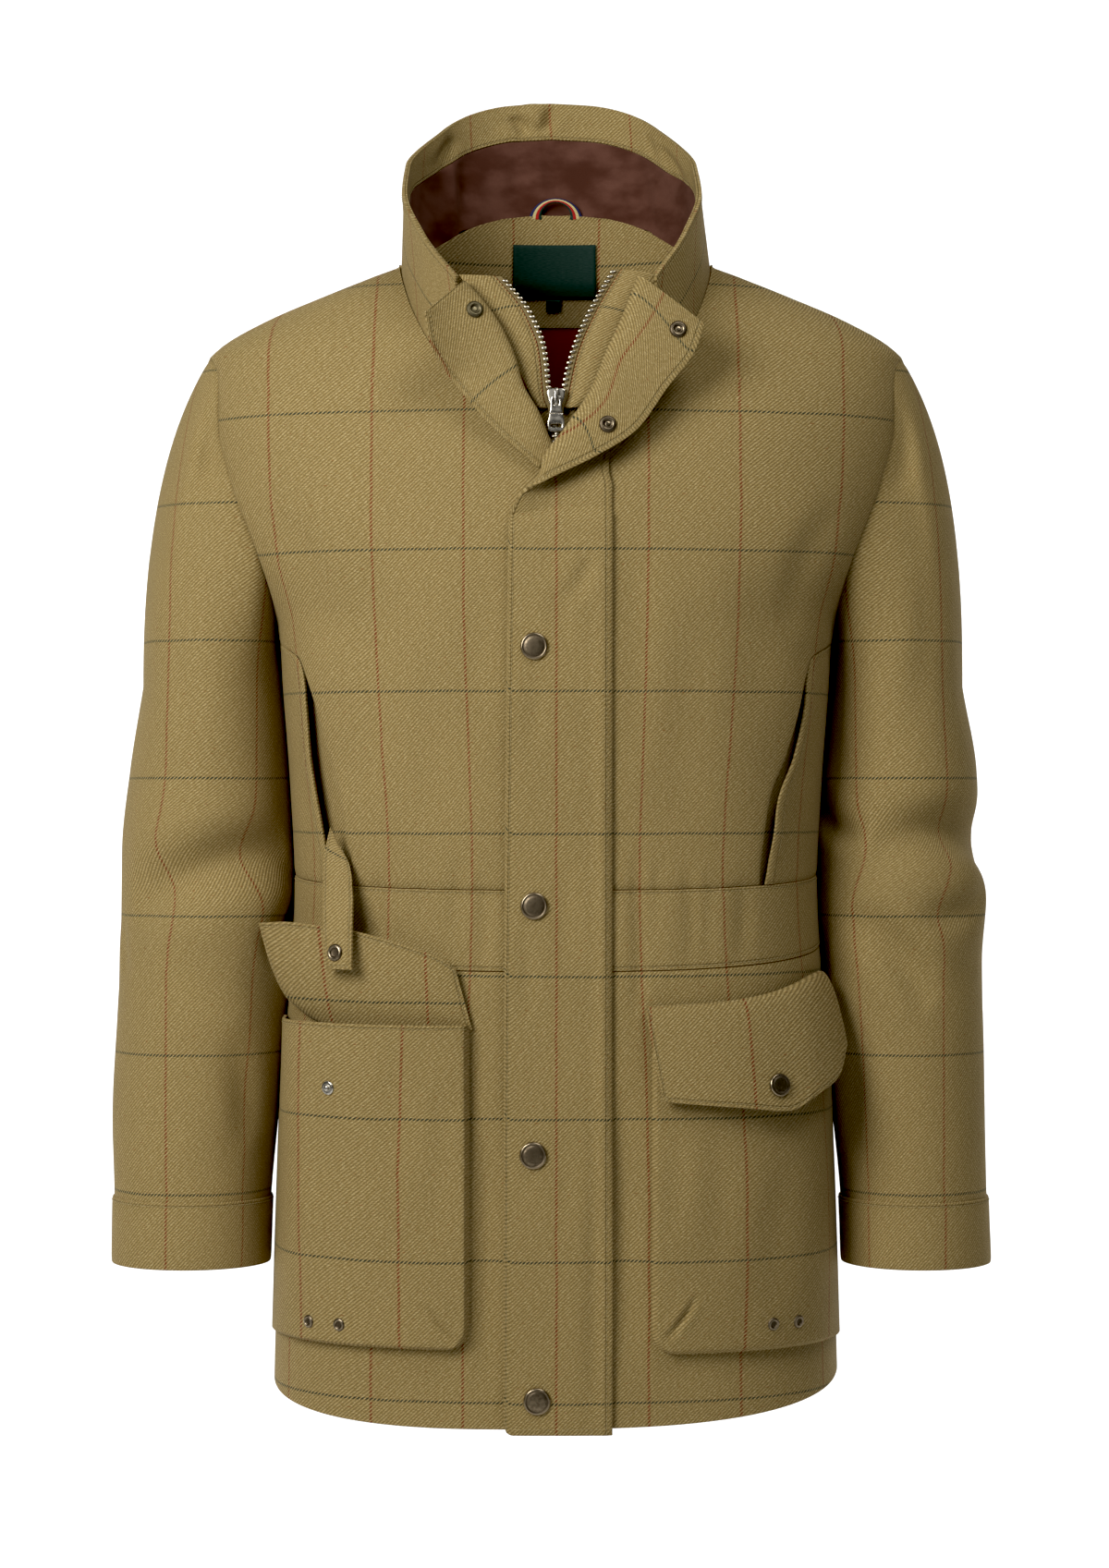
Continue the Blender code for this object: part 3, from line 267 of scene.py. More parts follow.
class Board:
    """Places and links shader nodes in one node tree."""

    def __init__(self, tree: bpy.types.NodeTree) -> None:
        """Work on this tree."""
        self.tree = tree

    def add(self, kind: str, **settings: object) -> bpy.types.Node:
        """New node with its properties set.

        Args:
            kind: Blender's name of the node type.
            settings: Its properties.

        Returns:
            The node.
        """
        node = self.tree.nodes.new(kind)
        for name, value in settings.items():
            setattr(node, name, value)
        return node

    def feed(self, socket: Socket, value: object) -> None:
        """Link a socket, or set its plain value.

        Args:
            socket: Input of a node.
            value: Socket or plain value.
        """
        if isinstance(value, Socket):
            self.tree.links.new(value, socket)
        else:
            socket.default_value = value

    def fill(self, node: bpy.types.Node, values: dict[str, object]) -> None:
        """Link or set several inputs of a node by name."""
        for name, value in values.items():
            self.feed(node.inputs[name], value)

    def math(self, operation: str, first: object, second: object = 0.0) -> Socket:
        """Result of one sum.

        Args:
            operation: Blender's name of it.
            first: First value.
            second: Second value.

        Returns:
            The result.
        """
        node = self.add("ShaderNodeMath", operation=operation)
        self.feed(node.inputs[0], first)
        self.feed(node.inputs[1], second)
        return node.outputs[0]

    def ease(self, value: Socket, low: float, high: float) -> Socket:
        """Smooth step of a value from 0 at low to 1 at high; low may lie above high.

        Args:
            value: What is stepped.
            low: Where the step is 0.
            high: Where it is 1.

        Returns:
            The step.
        """
        node = self.add("ShaderNodeMapRange", interpolation_type="SMOOTHSTEP")
        start, end = (0.0, 1.0) if low < high else (1.0, 0.0)
        self.fill(node, {"Value": value, "From Min": min(low, high), "From Max": max(low, high)})
        self.fill(node, {"To Min": start, "To Max": end})
        return node.outputs["Result"]

    def mix(self, share: object, first: object, second: object, blend: str = "MIX") -> Socket:
        """Mix of two colours.

        Args:
            share: Share of the second.
            first: First colour.
            second: Second colour.
            blend: Blender's name of the way they mix.

        Returns:
            The mixed colour.
        """
        node = self.add("ShaderNodeMix", data_type="RGBA", blend_type=blend)
        self.feed(node.inputs["Factor"], share)
        self.feed(node.inputs[6], first)
        self.feed(node.inputs[7], second)
        return node.outputs[2]

    def noise(self, vector: Socket, scale: float, detail: float = 2.0) -> Socket:
        """Soft noise from 0 to 1.

        Args:
            vector: Place.
            scale: Spots to one unit of it.
            detail: Finer layers.

        Returns:
            The noise.
        """
        node = self.add("ShaderNodeTexNoise")
        self.fill(node, {"Vector": vector, "Scale": scale, "Detail": detail})
        return node.outputs["Fac"]

    def turned(self, vector: Socket, angle: float, scale: Triple) -> Socket:
        """Vector turned about its third axis and stretched.

        Args:
            vector: Place.
            angle: Turn in radians.
            scale: Stretch of each axis.

        Returns:
            The new place.
        """
        node = self.add("ShaderNodeMapping")
        self.fill(node, {"Vector": vector, "Rotation": (0.0, 0.0, angle), "Scale": scale})
        return node.outputs["Vector"]

    def bump(self, height: Socket, distance: float, strength: float = 1.0) -> Socket:
        """Normal bent by a height.

        Args:
            height: Height from 0 to 1.
            distance: Real height of 1, in metres.
            strength: Share of the bend.

        Returns:
            The normal.
        """
        node = self.add("ShaderNodeBump")
        self.fill(node, {"Strength": strength, "Distance": distance, "Height": height})
        return node.outputs["Normal"]

    def split(self, vector: Socket) -> tuple[Socket, Socket]:
        """First two parts of a vector.

        Args:
            vector: What is split.

        Returns:
            The two parts.
        """
        node = self.add("ShaderNodeSeparateXYZ")
        self.feed(node.inputs[0], vector)
        return node.outputs[0], node.outputs[1]


def node_group(
    name: str, inputs: dict[str, str], outputs: dict[str, str]
) -> tuple[Board, Callable[[str], Socket], dict]:
    """Empty shader node group with named sockets.

    Args:
        name: The group's name.
        inputs: Socket name to socket type.
        outputs: Socket name to socket type.

    Returns:
        Its board, a function that gives an input by name, and the output sockets by name.
    """
    tree = bpy.data.node_groups.new(name, "ShaderNodeTree")
    for socket, kind in inputs.items():
        tree.interface.new_socket(socket, in_out="INPUT", socket_type=kind)
    for socket, kind in outputs.items():
        tree.interface.new_socket(socket, in_out="OUTPUT", socket_type=kind)
    board = Board(tree)
    start = board.add("NodeGroupInput")
    end = board.add("NodeGroupOutput")
    return board, lambda wanted: start.outputs[wanted], {socket: end.inputs[socket] for socket in outputs}


def start_material(name: str) -> tuple[Material, Board, bpy.types.Node]:
    """New node material.

    Args:
        name: The material's name.

    Returns:
        The material, its board and its Principled shader.
    """
    made = bpy.data.materials.new(name)
    made.use_nodes = True
    board = Board(made.node_tree)
    return made, board, made.node_tree.nodes["Principled BSDF"]


@dataclass(frozen=True)
class TweedFinish:
    """Olive-tan wool twill with red upright lines and dark green level ones.

    Attributes:
        ground: Main colour of the cloth.
        light: Colour of its pale threads.
        dark: Colour of its deep threads, also mixed in as painted shade along sewn grooves.
        fleck: Colour of the sparse warm flecks.
        red: Colour of the upright lines.
        green: Colour of the level lines.
        rib: Distance between twill ribs.
        wide: Distance between upright lines.
        tall: Distance between level lines.
    """

    ground: Colour = (0.33, 0.238, 0.095, 1)
    light: Colour = (0.52, 0.41, 0.205, 1)
    dark: Colour = (0.11, 0.074, 0.021, 1)
    fleck: Colour = (0.2, 0.075, 0.022, 1)
    red: Colour = (0.15, 0.018, 0.007, 1)
    green: Colour = (0.026, 0.034, 0.022, 1)
    rib: float = 1.75 * MM
    wide: float = 59.5 * MM
    tall: float = 91.0 * MM

    def weave(self) -> bpy.types.NodeTree:
        """Weave group: ribs slant up to the right, threads are noise stretched along them.

        Returns:
            The group, with Cloth in and Colour and Height out.
        """
        board, given, out = node_group(
            "tweed_weave",
            {"Cloth": "NodeSocketVector"},
            {"Colour": "NodeSocketColor", "Height": "NodeSocketFloat"},
        )
        cloth = given("Cloth")
        across, up = board.split(cloth)
        lean = board.math("SUBTRACT", across, up)
        slant = board.math("MULTIPLY", lean, math.tau / (self.rib * math.sqrt(2)))
        sway = board.math("MULTIPLY", board.noise(cloth, 900.0), 2.2)
        wave = board.math("SINE", board.math("ADD", slant, sway))
        rib = board.math("MULTIPLY_ADD", wave, 0.5)
        rib.node.inputs[2].default_value = 0.5
        along = board.turned(cloth, -math.pi / 4, (420.0, 1500.0, 1.0))
        thread = board.noise(along, 1.0, 3.0)
        speck = board.noise(cloth, 1500.0, 2.0)
        tone = board.noise(cloth, 14.0, 3.0)
        colour = board.mix(board.ease(thread, 0.42, 0.72), self.ground, self.light)
        colour = board.mix(board.ease(speck, 0.56, 0.74), colour, self.dark)
        colour = board.mix(board.math("MULTIPLY", rib, 0.7), colour, self.dark)
        fleck = board.ease(board.noise(along, 0.55, 1.0), 0.7, 0.78)
        colour = board.mix(board.math("MULTIPLY", fleck, 0.7), colour, self.fleck)
        shade = board.mix(tone, (0.93, 0.93, 0.92, 1), (1.07, 1.06, 1.03, 1))
        colour = board.mix(1.0, colour, shade, "MULTIPLY")
        drift = board.math("MULTIPLY", board.math("SUBTRACT", board.noise(cloth, 26.0), 0.5), 1.6 * MM)
        dots = board.ease(wave, -0.85, 0.35)
        for place, period, half, line, strength in (
            (across, self.wide, 1.15 * MM, self.red, 0.8),
            (up, self.tall, 1.1 * MM, self.green, 0.92),
        ):
            gap = board.math("PINGPONG", board.math("ADD", place, drift), period / 2)
            mask = board.math("MULTIPLY", board.ease(gap, half, 0.45 * half), dots)
            colour = board.mix(board.math("MULTIPLY", mask, strength), colour, line)
        height = board.math("ADD", board.math("MULTIPLY", rib, 0.6), board.math("MULTIPLY", thread, 0.5))
        board.feed(out["Colour"], colour)
        board.feed(out["Height"], height)
        return board.tree

    @cache
    def material(self) -> Material:
        """Tweed that reads the cloth's own chart and its sewn lines, where it is pressed into grooves and
        darkened as painted shade.

        Returns:
            The material, made once.
        """
        made, board, shader = start_material("tweed_cloth")
        weave = board.add("ShaderNodeGroup", node_tree=self.weave())
        chart = board.add("ShaderNodeUVMap", uv_map="cloth")
        board.feed(weave.inputs["Cloth"], chart.outputs["UV"])
        sewn = board.add("ShaderNodeAttribute", attribute_name="sewn")
        # Along each sewn line the cloth gets a bump groove, and its colour is darkened towards the deep
        # threads as painted shade in that groove.
        groove_and_shade = board.ease(board.math("ABSOLUTE", sewn.outputs["Fac"]), 1.2 * MM, 0.2 * MM)
        dark = board.mix(board.math("MULTIPLY", groove_and_shade, 0.16), weave.outputs["Colour"], self.dark)
        height = board.math("SUBTRACT", weave.outputs["Height"], board.math("MULTIPLY", groove_and_shade, 2.2))
        board.fill(shader, {
            "Base Color": dark, "Normal": board.bump(height, 0.28 * MM, 0.8), "Roughness": 0.92,
            "Specular IOR Level": 0.22, "Sheen Weight": 0.06, "Sheen Roughness": 0.6,
            "Sheen Tint": (0.8, 0.66, 0.4, 1)})
        return made


@dataclass(frozen=True)
class SuedeFinish:
    """Brown suede cloth with a brushed nap.

    Attributes:
        deep: Colour where the nap lies away from the light.
        pale: Colour where it is brushed up.
    """

    deep: Colour = (0.062, 0.026, 0.018, 1)
    pale: Colour = (0.13, 0.062, 0.045, 1)

    def material(self) -> Material:
        """Suede: wide cloudy strokes of the nap with fine grain over them.

        Returns:
            The material.
        """
        made, board, shader = start_material("brown_suede")
        place = board.add("ShaderNodeTexCoord").outputs["Object"]
        cloud = board.noise(board.turned(place, 0.4, (38.0, 38.0, 62.0)), 1.0, 4.0)
        grain = board.noise(place, 1400.0, 2.0)
        colour = board.mix(board.ease(cloud, 0.3, 0.72), self.deep, self.pale)
        colour = board.mix(board.math("MULTIPLY", grain, 0.35), colour, self.deep)
        board.fill(shader, {
            "Base Color": colour, "Normal": board.bump(grain, 0.15 * MM, 0.5), "Roughness": 0.95,
            "Specular IOR Level": 0.1, "Sheen Weight": 0.25, "Sheen Tint": (0.6, 0.38, 0.3, 1)})
        return made


@dataclass(frozen=True)
class SatinFinish:
    """Smooth woven satin, as lining, label or tape.

    Attributes:
        name: The material's name.
        colour: Colour of the face.
        shade: Colour between the threads.
        thread: Distance between threads.
        roughness: How dull the face is.
    """

    name: str
    colour: Colour
    shade: Colour
    thread: float
    roughness: float

    @cache
    def material(self) -> Material:
        """Satin: fine level threads, with slow change of tone.

        Returns:
            The material.
        """
        made, board, shader = start_material(self.name)
        chart = board.add("ShaderNodeUVMap", uv_map="cloth").outputs["UV"]
        _, up = board.split(chart)
        wave = board.math("SINE", board.math("MULTIPLY", up, math.tau / self.thread))
        fine = board.noise(board.turned(chart, 0.0, (300.0, 2400.0, 1.0)), 1.0, 2.0)
        share = board.math("MULTIPLY", board.math("ADD", board.math("MULTIPLY", wave, 0.5), 0.5), fine)
        board.fill(shader, {
            "Base Color": board.mix(share, self.colour, self.shade),
            "Roughness": board.ease(fine, -1.2 + self.roughness, 0.6 + self.roughness),
            "Normal": board.bump(wave, 0.05 * MM, 0.4), "Specular IOR Level": 0.3})
        return made


@dataclass(frozen=True)
class CordFinish:
    """Striped woven cord: bands of colour that run along it.

    Attributes:
        bands: Colours from one edge of the cord to the other.
    """

    bands: tuple[Colour, ...] = (
        (0.006, 0.03, 0.018, 1),
        (0.42, 0.01, 0.006, 1),
        (0.6, 0.5, 0.22, 1),
        (0.008, 0.01, 0.065, 1),
    )

    def material(self) -> Material:
        """Stripes: each band covers its own share of the chart's second axis.

        Returns:
            The material.
        """
        made, board, shader = start_material("ribbon_stripes")
        chart = board.add("ShaderNodeUVMap", uv_map="cloth").outputs["UV"]
        across, up = board.split(chart)
        colour: object = self.bands[0]
        for number, band in enumerate(self.bands[1:], start=1):
            edge = number / len(self.bands)
            colour = board.mix(board.ease(up, edge - 0.015, edge + 0.015), colour, band)
        twist = board.math("SINE", board.math("MULTIPLY", across, math.tau / (0.9 * MM)))
        normal = board.bump(twist, 0.12 * MM, 0.7)
        board.fill(shader, {"Base Color": colour, "Normal": normal, "Roughness": 0.7})
        return made


@dataclass(frozen=True)
class MetalFinish:
    """Cast or pressed metal, dark in its hollows and bright on its rims, where the brightness is partly wear
    and partly a painted highlight.

    Attributes:
        name: The material's name.
        body: Colour of the dark face.
        rubbed_and_highlight: Colour of the worn rims, which also serves as their painted highlight.
        roughness: Roughness of the dark face.
    """

    name: str
    body: Colour
    rubbed_and_highlight: Colour
    roughness: float

    def wear(self) -> bpy.types.NodeTree:
        """Wear and highlight group: the piece's own mark of rim wear and painted highlight, broken up by
        noise.

        Returns:
            The group, made once, with Place and Rub in and Worn_and_highlight out.
        """
        if "rim_wear_and_highlight" in bpy.data.node_groups:
            return bpy.data.node_groups["rim_wear_and_highlight"]
        board, given, out = node_group(
            "rim_wear_and_highlight",
            {"Place": "NodeSocketVector", "Rub": "NodeSocketFloat"},
            {"Worn_and_highlight": "NodeSocketFloat"},
        )
        broken = board.math("MULTIPLY_ADD", board.noise(given("Place"), 420.0, 4.0), 0.9)
        broken.node.inputs[2].default_value = -0.45
        board.feed(out["Worn_and_highlight"], board.ease(board.math("ADD", given("Rub"), broken), 0.3, 0.85))
        return board.tree

    @cache
    def material(self) -> Material:
        """Metal with worn rims, brightened also as painted highlight.

        Returns:
            The material.
        """
        made, board, shader = start_material(self.name)
        wear = board.add("ShaderNodeGroup", node_tree=self.wear())
        place = board.add("ShaderNodeTexCoord").outputs["Object"]
        # This per-point mark brightens rims towards the rubbed colour, partly as wear and partly as painted
        # highlight.
        rub = board.add("ShaderNodeAttribute", attribute_name="rub").outputs["Fac"]
        board.fill(wear, {"Place": place, "Rub": rub})
        worn_and_highlight = wear.outputs["Worn_and_highlight"]
        patch = board.noise(place, 260.0, 3.0)
        colour = board.mix(board.math("MULTIPLY", patch, 0.4), self.body, self.rubbed_and_highlight)
        rough = board.math("SUBTRACT", self.roughness + 0.1, board.math("MULTIPLY", worn_and_highlight, 0.2))
        board.fill(shader, {
            "Base Color": board.mix(worn_and_highlight, colour, self.rubbed_and_highlight), "Roughness": rough, "Metallic": 1.0,
            "Normal": board.bump(board.noise(place, 900.0), 0.05 * MM, 0.4)})
        return made


@dataclass(frozen=True)
class ThreadFinish:
    """Twisted sewing thread.

    Attributes:
        colour: Colour of the thread.
    """

    colour: Colour = (0.36, 0.28, 0.125, 1)

    @cache
    def material(self) -> Material:
        """Thread with a slow change of tone.

        Returns:
            The material.
        """
        made, board, shader = start_material("sewing_thread")
        place = board.add("ShaderNodeTexCoord").outputs["Object"]
        tone = board.mix(board.noise(place, 500.0), (0.8, 0.8, 0.8, 1), (1.15, 1.15, 1.15, 1))
        colour = board.mix(1.0, self.colour, tone, "MULTIPLY")
        board.fill(shader, {"Base Color": colour, "Roughness": 0.75})
        return made


TWEED = TweedFinish()
SUEDE = SuedeFinish()
LINING = SatinFinish("lining_satin", (0.2, 0.045, 0.012, 1), (0.1, 0.02, 0.006, 1), 0.5 * MM, 0.55)
TAPE = SatinFinish("tape_weave", (0.22, 0.16, 0.065, 1), (0.11, 0.08, 0.03, 1), 1.1 * MM, 0.8)
LABEL_SATIN = SatinFinish("label_satin", (0.009, 0.03, 0.021, 1), (0.004, 0.015, 0.01, 1), 0.55 * MM, 0.5)
CORD = CordFinish()
BRASS = MetalFinish("aged_brass", (0.07, 0.052, 0.034, 1), (0.33, 0.265, 0.175, 1), 0.38)
DULL_BRASS = MetalFinish("dull_brass", (0.1, 0.085, 0.05, 1), (0.2, 0.17, 0.1, 1), 0.5)
ZINC = MetalFinish("zinc_alloy", (0.32, 0.3, 0.25, 1), (0.6, 0.56, 0.48, 1), 0.36)
TEETH = MetalFinish("zip_teeth", (0.3, 0.26, 0.19, 1), (0.52, 0.47, 0.37, 1), 0.42)
THREAD = ThreadFinish()


def put_mesh(
    name: str, points: Array, faces: Array | list[list[int]], finishes: list[Material]
) -> Thing:
    """New smooth mesh object in the scene.

    Args:
        name: The object's name.
        points: Places, one row each.
        faces: Point numbers, one row for each face.
        finishes: Materials of its slots.

    Returns:
        The object, at the origin.
    """
    mesh = bpy.data.meshes.new(name)
    mesh.from_pydata(points.reshape(-1, 3).tolist(), [], faces if isinstance(faces, list) else faces.tolist())
    mesh.shade_smooth()
    made = bpy.data.objects.new(name, mesh)
    for finish in finishes:
        mesh.materials.append(finish)
    bpy.context.scene.collection.objects.link(made)
    return made


def attach(made: Thing, node: str = "", body: str = ROOT_BODY) -> None:
    """Bind a finished piece to its body and hide the node that it replaces.

    Args:
        made: The piece.
        node: The node that it replaces, if any.
        body: The body that it moves with.
    """
    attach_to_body(made, body)
    if node:
        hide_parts(node)
    LOG.info("%s: %d points", made.name, len(made.data.vertices))


def grid_faces(rows: int, columns: int, closed: bool, flip: bool) -> Array:
    """Quads of a grid of points.

    Args:
        rows: Rows of points.
        columns: Columns of points.
        closed: True to join the last column to the first.
        flip: True to turn the faces round.

    Returns:
        Four point numbers for each face.
    """
    index = np.arange(rows * columns).reshape(rows, columns)
    if closed:
        index = np.column_stack([index, index[:, 0]])
    corners = [index[:-1, :-1], index[:-1, 1:], index[1:, 1:], index[1:, :-1]]
    faces = np.stack(corners, axis=-1).reshape(-1, 4)
    return faces[:, ::-1] if flip else faces


def write_chart(mesh: bpy.types.Mesh, chart: Array) -> None:
    """Store a chart as the mesh's UV map, face corner by face corner.

    Args:
        mesh: The mesh, whose face corners follow grid_faces.
        chart: Two values for each face corner.
    """
    layer = mesh.uv_layers.new(name="cloth")
    layer.data.foreach_set("uv", chart.astype(np.float32).ravel())


def mark(mesh: bpy.types.Mesh, name: str, values: Array) -> None:
    """Store one number for each point."""
    layer = mesh.attributes.new(name, "FLOAT", "POINT")
    layer.data.foreach_set("value", values.astype(np.float32).ravel())


@dataclass
class Cloth:
    """One sewn piece: a grid of places, its flat chart and how it was cut.

    Attributes:
        name: The frame's node that it stands for, and its own name.
        points: Grid of places on its outside.
        chart: Grid of places on the flat cloth, in metres.
        cut: Width and length it was cut to, in metres; not used.
        share: Share of that rectangle that the cut fills; not used.
        wall: Thickness, on the inner side.
        flip: True where the grid's own faces point inwards.
        closed: True for a tube.
        finish: Finish of the outside.
        inner: Finish of the inside, where it differs.
        slot: The record's slot; not used.
        held: How it is held; not used.
        rests_on: Nodes that carry it; not used.
        sewn: Signed distance to the nearest line of sewing, for each point, where the tweed is grooved and
            darkened as painted shade.
        rounding: Width of the rounded edge.
    """

    name: str
    points: Array
    chart: Array
    cut: Pair
    share: float = 1.0
    wall: float = WALL
    flip: bool = False
    closed: bool = False
    finish: object = TWEED
    inner: object = None
    slot: str = "tweed"
    held: Held = Held.HUNG
    rests_on: tuple[str, ...] = ("back",)
    sewn: Array | None = None
    rounding: float = 0.7 * MM

    def build(self) -> Thing:
        """Shell with rounded edges that replaces its node and moves with the coat.

        Returns:
            The finished object.
        """
        rows, columns = self.points.shape[:2]
        faces = grid_faces(rows, columns, self.closed, self.flip)
        finishes = [self.finish.material()]
        if self.inner is not None:
            finishes.append(self.inner.material())
        made = put_mesh(self.name + "_cloth", self.points, faces, finishes)
        if self.closed:
            faces = grid_faces(rows, columns + 1, False, self.flip)
        write_chart(made.data, self.chart.reshape(-1, 2)[faces])
        mark(made.data, "sewn", np.ones((rows, columns)) if self.sewn is None else self.sewn)
        solid = made.modifiers.new("wall", "SOLIDIFY")
        solid.thickness = self.wall
        solid.offset = -1
        solid.material_offset = len(finishes) - 1
        if self.rounding:
            edge = made.modifiers.new("rounded_edge", "BEVEL")
            edge.width = min(self.rounding, 0.42 * self.wall)
            edge.segments = 2
            edge.limit_method = "ANGLE"
            edge.angle_limit = math.radians(50)
        attach(made, self.name)
        return made


def edge_runs(points: Array) -> dict[str, Array]:
    """Distance of each point of a grid from its four edges, along its rows and columns.

    Args:
        points: Grid of places.

    Returns:
        The distances from the first column, last column, first row and last row.
    """
    across, up = run_length(points, 1), run_length(points, 0)
    return {"start": across, "end": across[:, -1:] - across, "foot": up, "head": up[-1:] - up}


def tucked(points: Array, runs: list[Array], flip: bool, depth: float = 0.9 * MM) -> Array:
    """Points sunk beside seams, by a fall that fades over a few millimetres.

    Args:
        points: Grid of places.
        runs: Distances from the edges that are seams.
        flip: True where the grid's own normals point inwards.
        depth: How far the cloth sinks at the seam.

    Returns:
        The moved grid.
    """
    fade, most = 2.2 * MM, 1.2
    sink = sum(np.exp(-run / fade) for run in runs)
    way = 1.0 if flip else -1.0
    return points + grid_normals(points) * (way * depth * np.minimum(sink, most))[..., None]


def table(rows: list[list[float]]) -> Array:
    """Rows of millimetres in metres."""
    return np.array(rows, dtype=float) * MM


def tabled(rows: list[list[float]]) -> Array:
    """Dataclass field that holds rows of millimetres in metres."""
    return field(default_factory=lambda: table(rows))


@dataclass
class BodyForm:
    """The filled-out shape that the cut gives the coat, and the seams on it.

    Attributes:
        sections: Height, half width, front depth, back depth, squareness.
        collar: Base x, base z, rim x, rim y, rim z, from the back to the front end.
        armhole_front: Height and how far the armhole reaches forward there.
        slit: Height, then x of the slanted seam's middle and its gap on the right and on the left.
        neck_front: Height and x of the neckline beside the zip.
    """

    sections: Array = field(default_factory=lambda: np.array([
        [-800, 190, 132, 128, 2.7],
        [-742, 189, 133, 128, 2.7],
        [-600, 184.5, 138, 128, 2.7],
        [-530, 182, 138, 126, 2.7],
        [-470, 178, 138, 122, 2.7],
        [-415, 175.5, 137, 119, 2.7],
        [-350, 178.5, 138, 121, 2.7],
        [-290, 183, 140, 126, 2.7],
        [-246, 186.5, 139, 129, 2.6],
        [-200, 211, 136, 130, 2.5],
        [-156, 229, 128, 128, 2.4],
        [-100, 236.5, 110, 120, 2.3],
        [-66, 235, 90, 107, 2.2],
        [-56, 226, 84, 103, 2.2],
        [-39, 197, 71, 95.5, 2.2],
        [-20, 153, 57, 87, 2.2],
        [-8, 123, 47, 81, 2.2],
        [0, 104, 42, 78, 2.2],
        [15, 97, 40, 77, 2.2],
        [55, 88, 40, 76, 2.2],
    ]) * [MM, MM, MM, MM, 1.0])
    collar: Array = tabled([
        [0, 43, 0, 87, 126],
        [28, 41, 31, 83.5, 123.5],
        [54, 34, 58, 72, 115],
        [84, 16, 80, 47, 97],
        [104, 0, 98.5, 2, 69],
        [98, -26, 99.5, -44, 44],
        [85, -56, 88, -80, 12],
        [67, -84, 65, -107, -22],
    ])
    slit: Array = tabled([
        [-425, 140.5, 15, 133.5, 3],
        [-405, 140, 15.5, 135, 4.5],
        [-387, 142.9, 13.2, 137.6, 5],
        [-362, 146.8, 13.6, 140.8, 3.8],
        [-333, 153.3, 11.2, 152, 4],
        [-303, 159.2, 6.6, 160.5, 3.2],
        [-272, 167, 0.6, 166, 0.6],
        [-245, 186.6, 0.3, 186.6, 0.3],
    ])
    neck_front: Array = tabled([[-104, 0.3], [-92, 25], [-86, 44]])
    hem_side: float = -742 * MM
    hem_front_drop: float = 21 * MM
    hem_back_drop: float = 8 * MM
    hem_tilt: float = 3.5 * MM
    waist_top_side: float = -410 * MM
    waist_top_drop: float = 8 * MM
    waist_low_side: float = -456 * MM
    waist_low_drop: float = 14 * MM
    seam_fade: float = 110 * MM
    armhole_z: float = -156 * MM
    armhole_half: float = 90 * MM
    armhole_front: Array = tabled([
        [-246, 82], [-221, 80], [-182, 63], [-150, 48], [-116, 36], [-85, 36], [-66, 36]])
    armhole_back: float = 74 * MM
    shoulder_seam_y: float = -14 * MM
    neck_margin: float = 1.0 * MM
    slit_bend: float = 22.0 * MM
    collar_side_row: int = 4
    level_front: float = 119 * MM
    side_take_up: float = 0.8
    line_height: float = -382 * MM
    waist_pull: float = 0.11
    waist_reach: float = 120 * MM

    @property
    def armhole_foot(self) -> float:
        """Height of the armhole's lowest point."""
        return self.armhole_z - self.armhole_half

    @property
    def waist_foot(self) -> float:
        """Height of the upper waist seam at the middle."""
        return self.waist_top_side - self.waist_top_drop

    def sizes(self, z: Array) -> Array:
        """Half width, front depth, back depth and squareness at each height."""
        return np.moveaxis(smooth(self.sections[:, 0], self.sections[:, 1:], z), -1, 0)

    def torso(self, angle: Array, z: Array) -> Array:
        """Place on the outside: a superellipse with its own depth at the front and at the back.

        Args:
            angle: 0 at the left side, a quarter turn at the front.
            z: Height.

        Returns:
            The places.
        """
        half, front, back, power = self.sizes(z)
        cos, sin = np.cos(angle), np.sin(angle)
        x = half * squared(cos, 2 / power)
        y = -np.where(sin > 0, front, back) * squared(sin, 2 / power)
        return np.stack(np.broadcast_arrays(x, y, z), axis=-1)

    def normal(self, angle: Array, z: Array) -> Array:
        """Outward direction by small differences.

        Args:
            angle: Angles round the body.
            z: Heights.

        Returns:
            Unit vectors.
        """
        turn, rise = 0.01, 2 * MM
        around = self.torso(angle + turn, z) - self.torso(angle - turn, z)
        upward = self.torso(angle, z + rise) - self.torso(angle, z - rise)
        return unit(np.cross(upward, around))

    def angle_at_x(self, x: Array, z: Array) -> Array:
        """Angle on the left half of the front where the outside has this x."""
        half, _, _, power = self.sizes(z)
        return np.arccos(np.clip(np.abs(x) / half, 0, 1) ** (power / 2))

    def angle_at_y(self, y: Array, z: Array) -> Array:
        """Angle on the left side where the outside has this y.

        Args:
            y: Places in depth.
            z: Heights.

        Returns:
            Angles round the body.
        """
        _, front, back, power = self.sizes(z)
        share = np.clip(np.abs(y) / np.where(np.asarray(y) < 0, front, back), 0, 1)
        return -np.sign(y) * np.arcsin(share ** (power / 2))

    def front(self, x: Array, z: Array, lift: Array) -> Array:
        """Places on the front at x and z, moved out along the normal.

        Args:
            x: Places across, either side of the middle.
            z: Heights.
            lift: How far out each place is moved.

        Returns:
            The places.
        """
        found = self.angle_at_x(x, z)
        angle = np.where(x < 0, math.pi - found, found)
        return self.torso(angle, z) + self.normal(angle, z) * np.asarray(lift)[..., None]

    def spread(
        self, heights: Array, starts: Array, ends: Array, shares: Array
    ) -> Array:
        """Angles of one row for each height, spaced by length along the section.

        Args:
            heights: One height for each row.
            starts: Angle of each row's first point.
            ends: Angle of each row's last point.
            shares: Shares of the row's length.

        Returns:
            Rows of angles.
        """
        dense = starts[:, None] + (ends - starts)[:, None] * np.linspace(0, 1, 160)
        run = run_length(self.torso(dense, np.broadcast_to(heights[:, None], dense.shape)), 1)
        return np.array([np.interp(shares * row[-1], row, angles) for row, angles in zip(run, dense)])

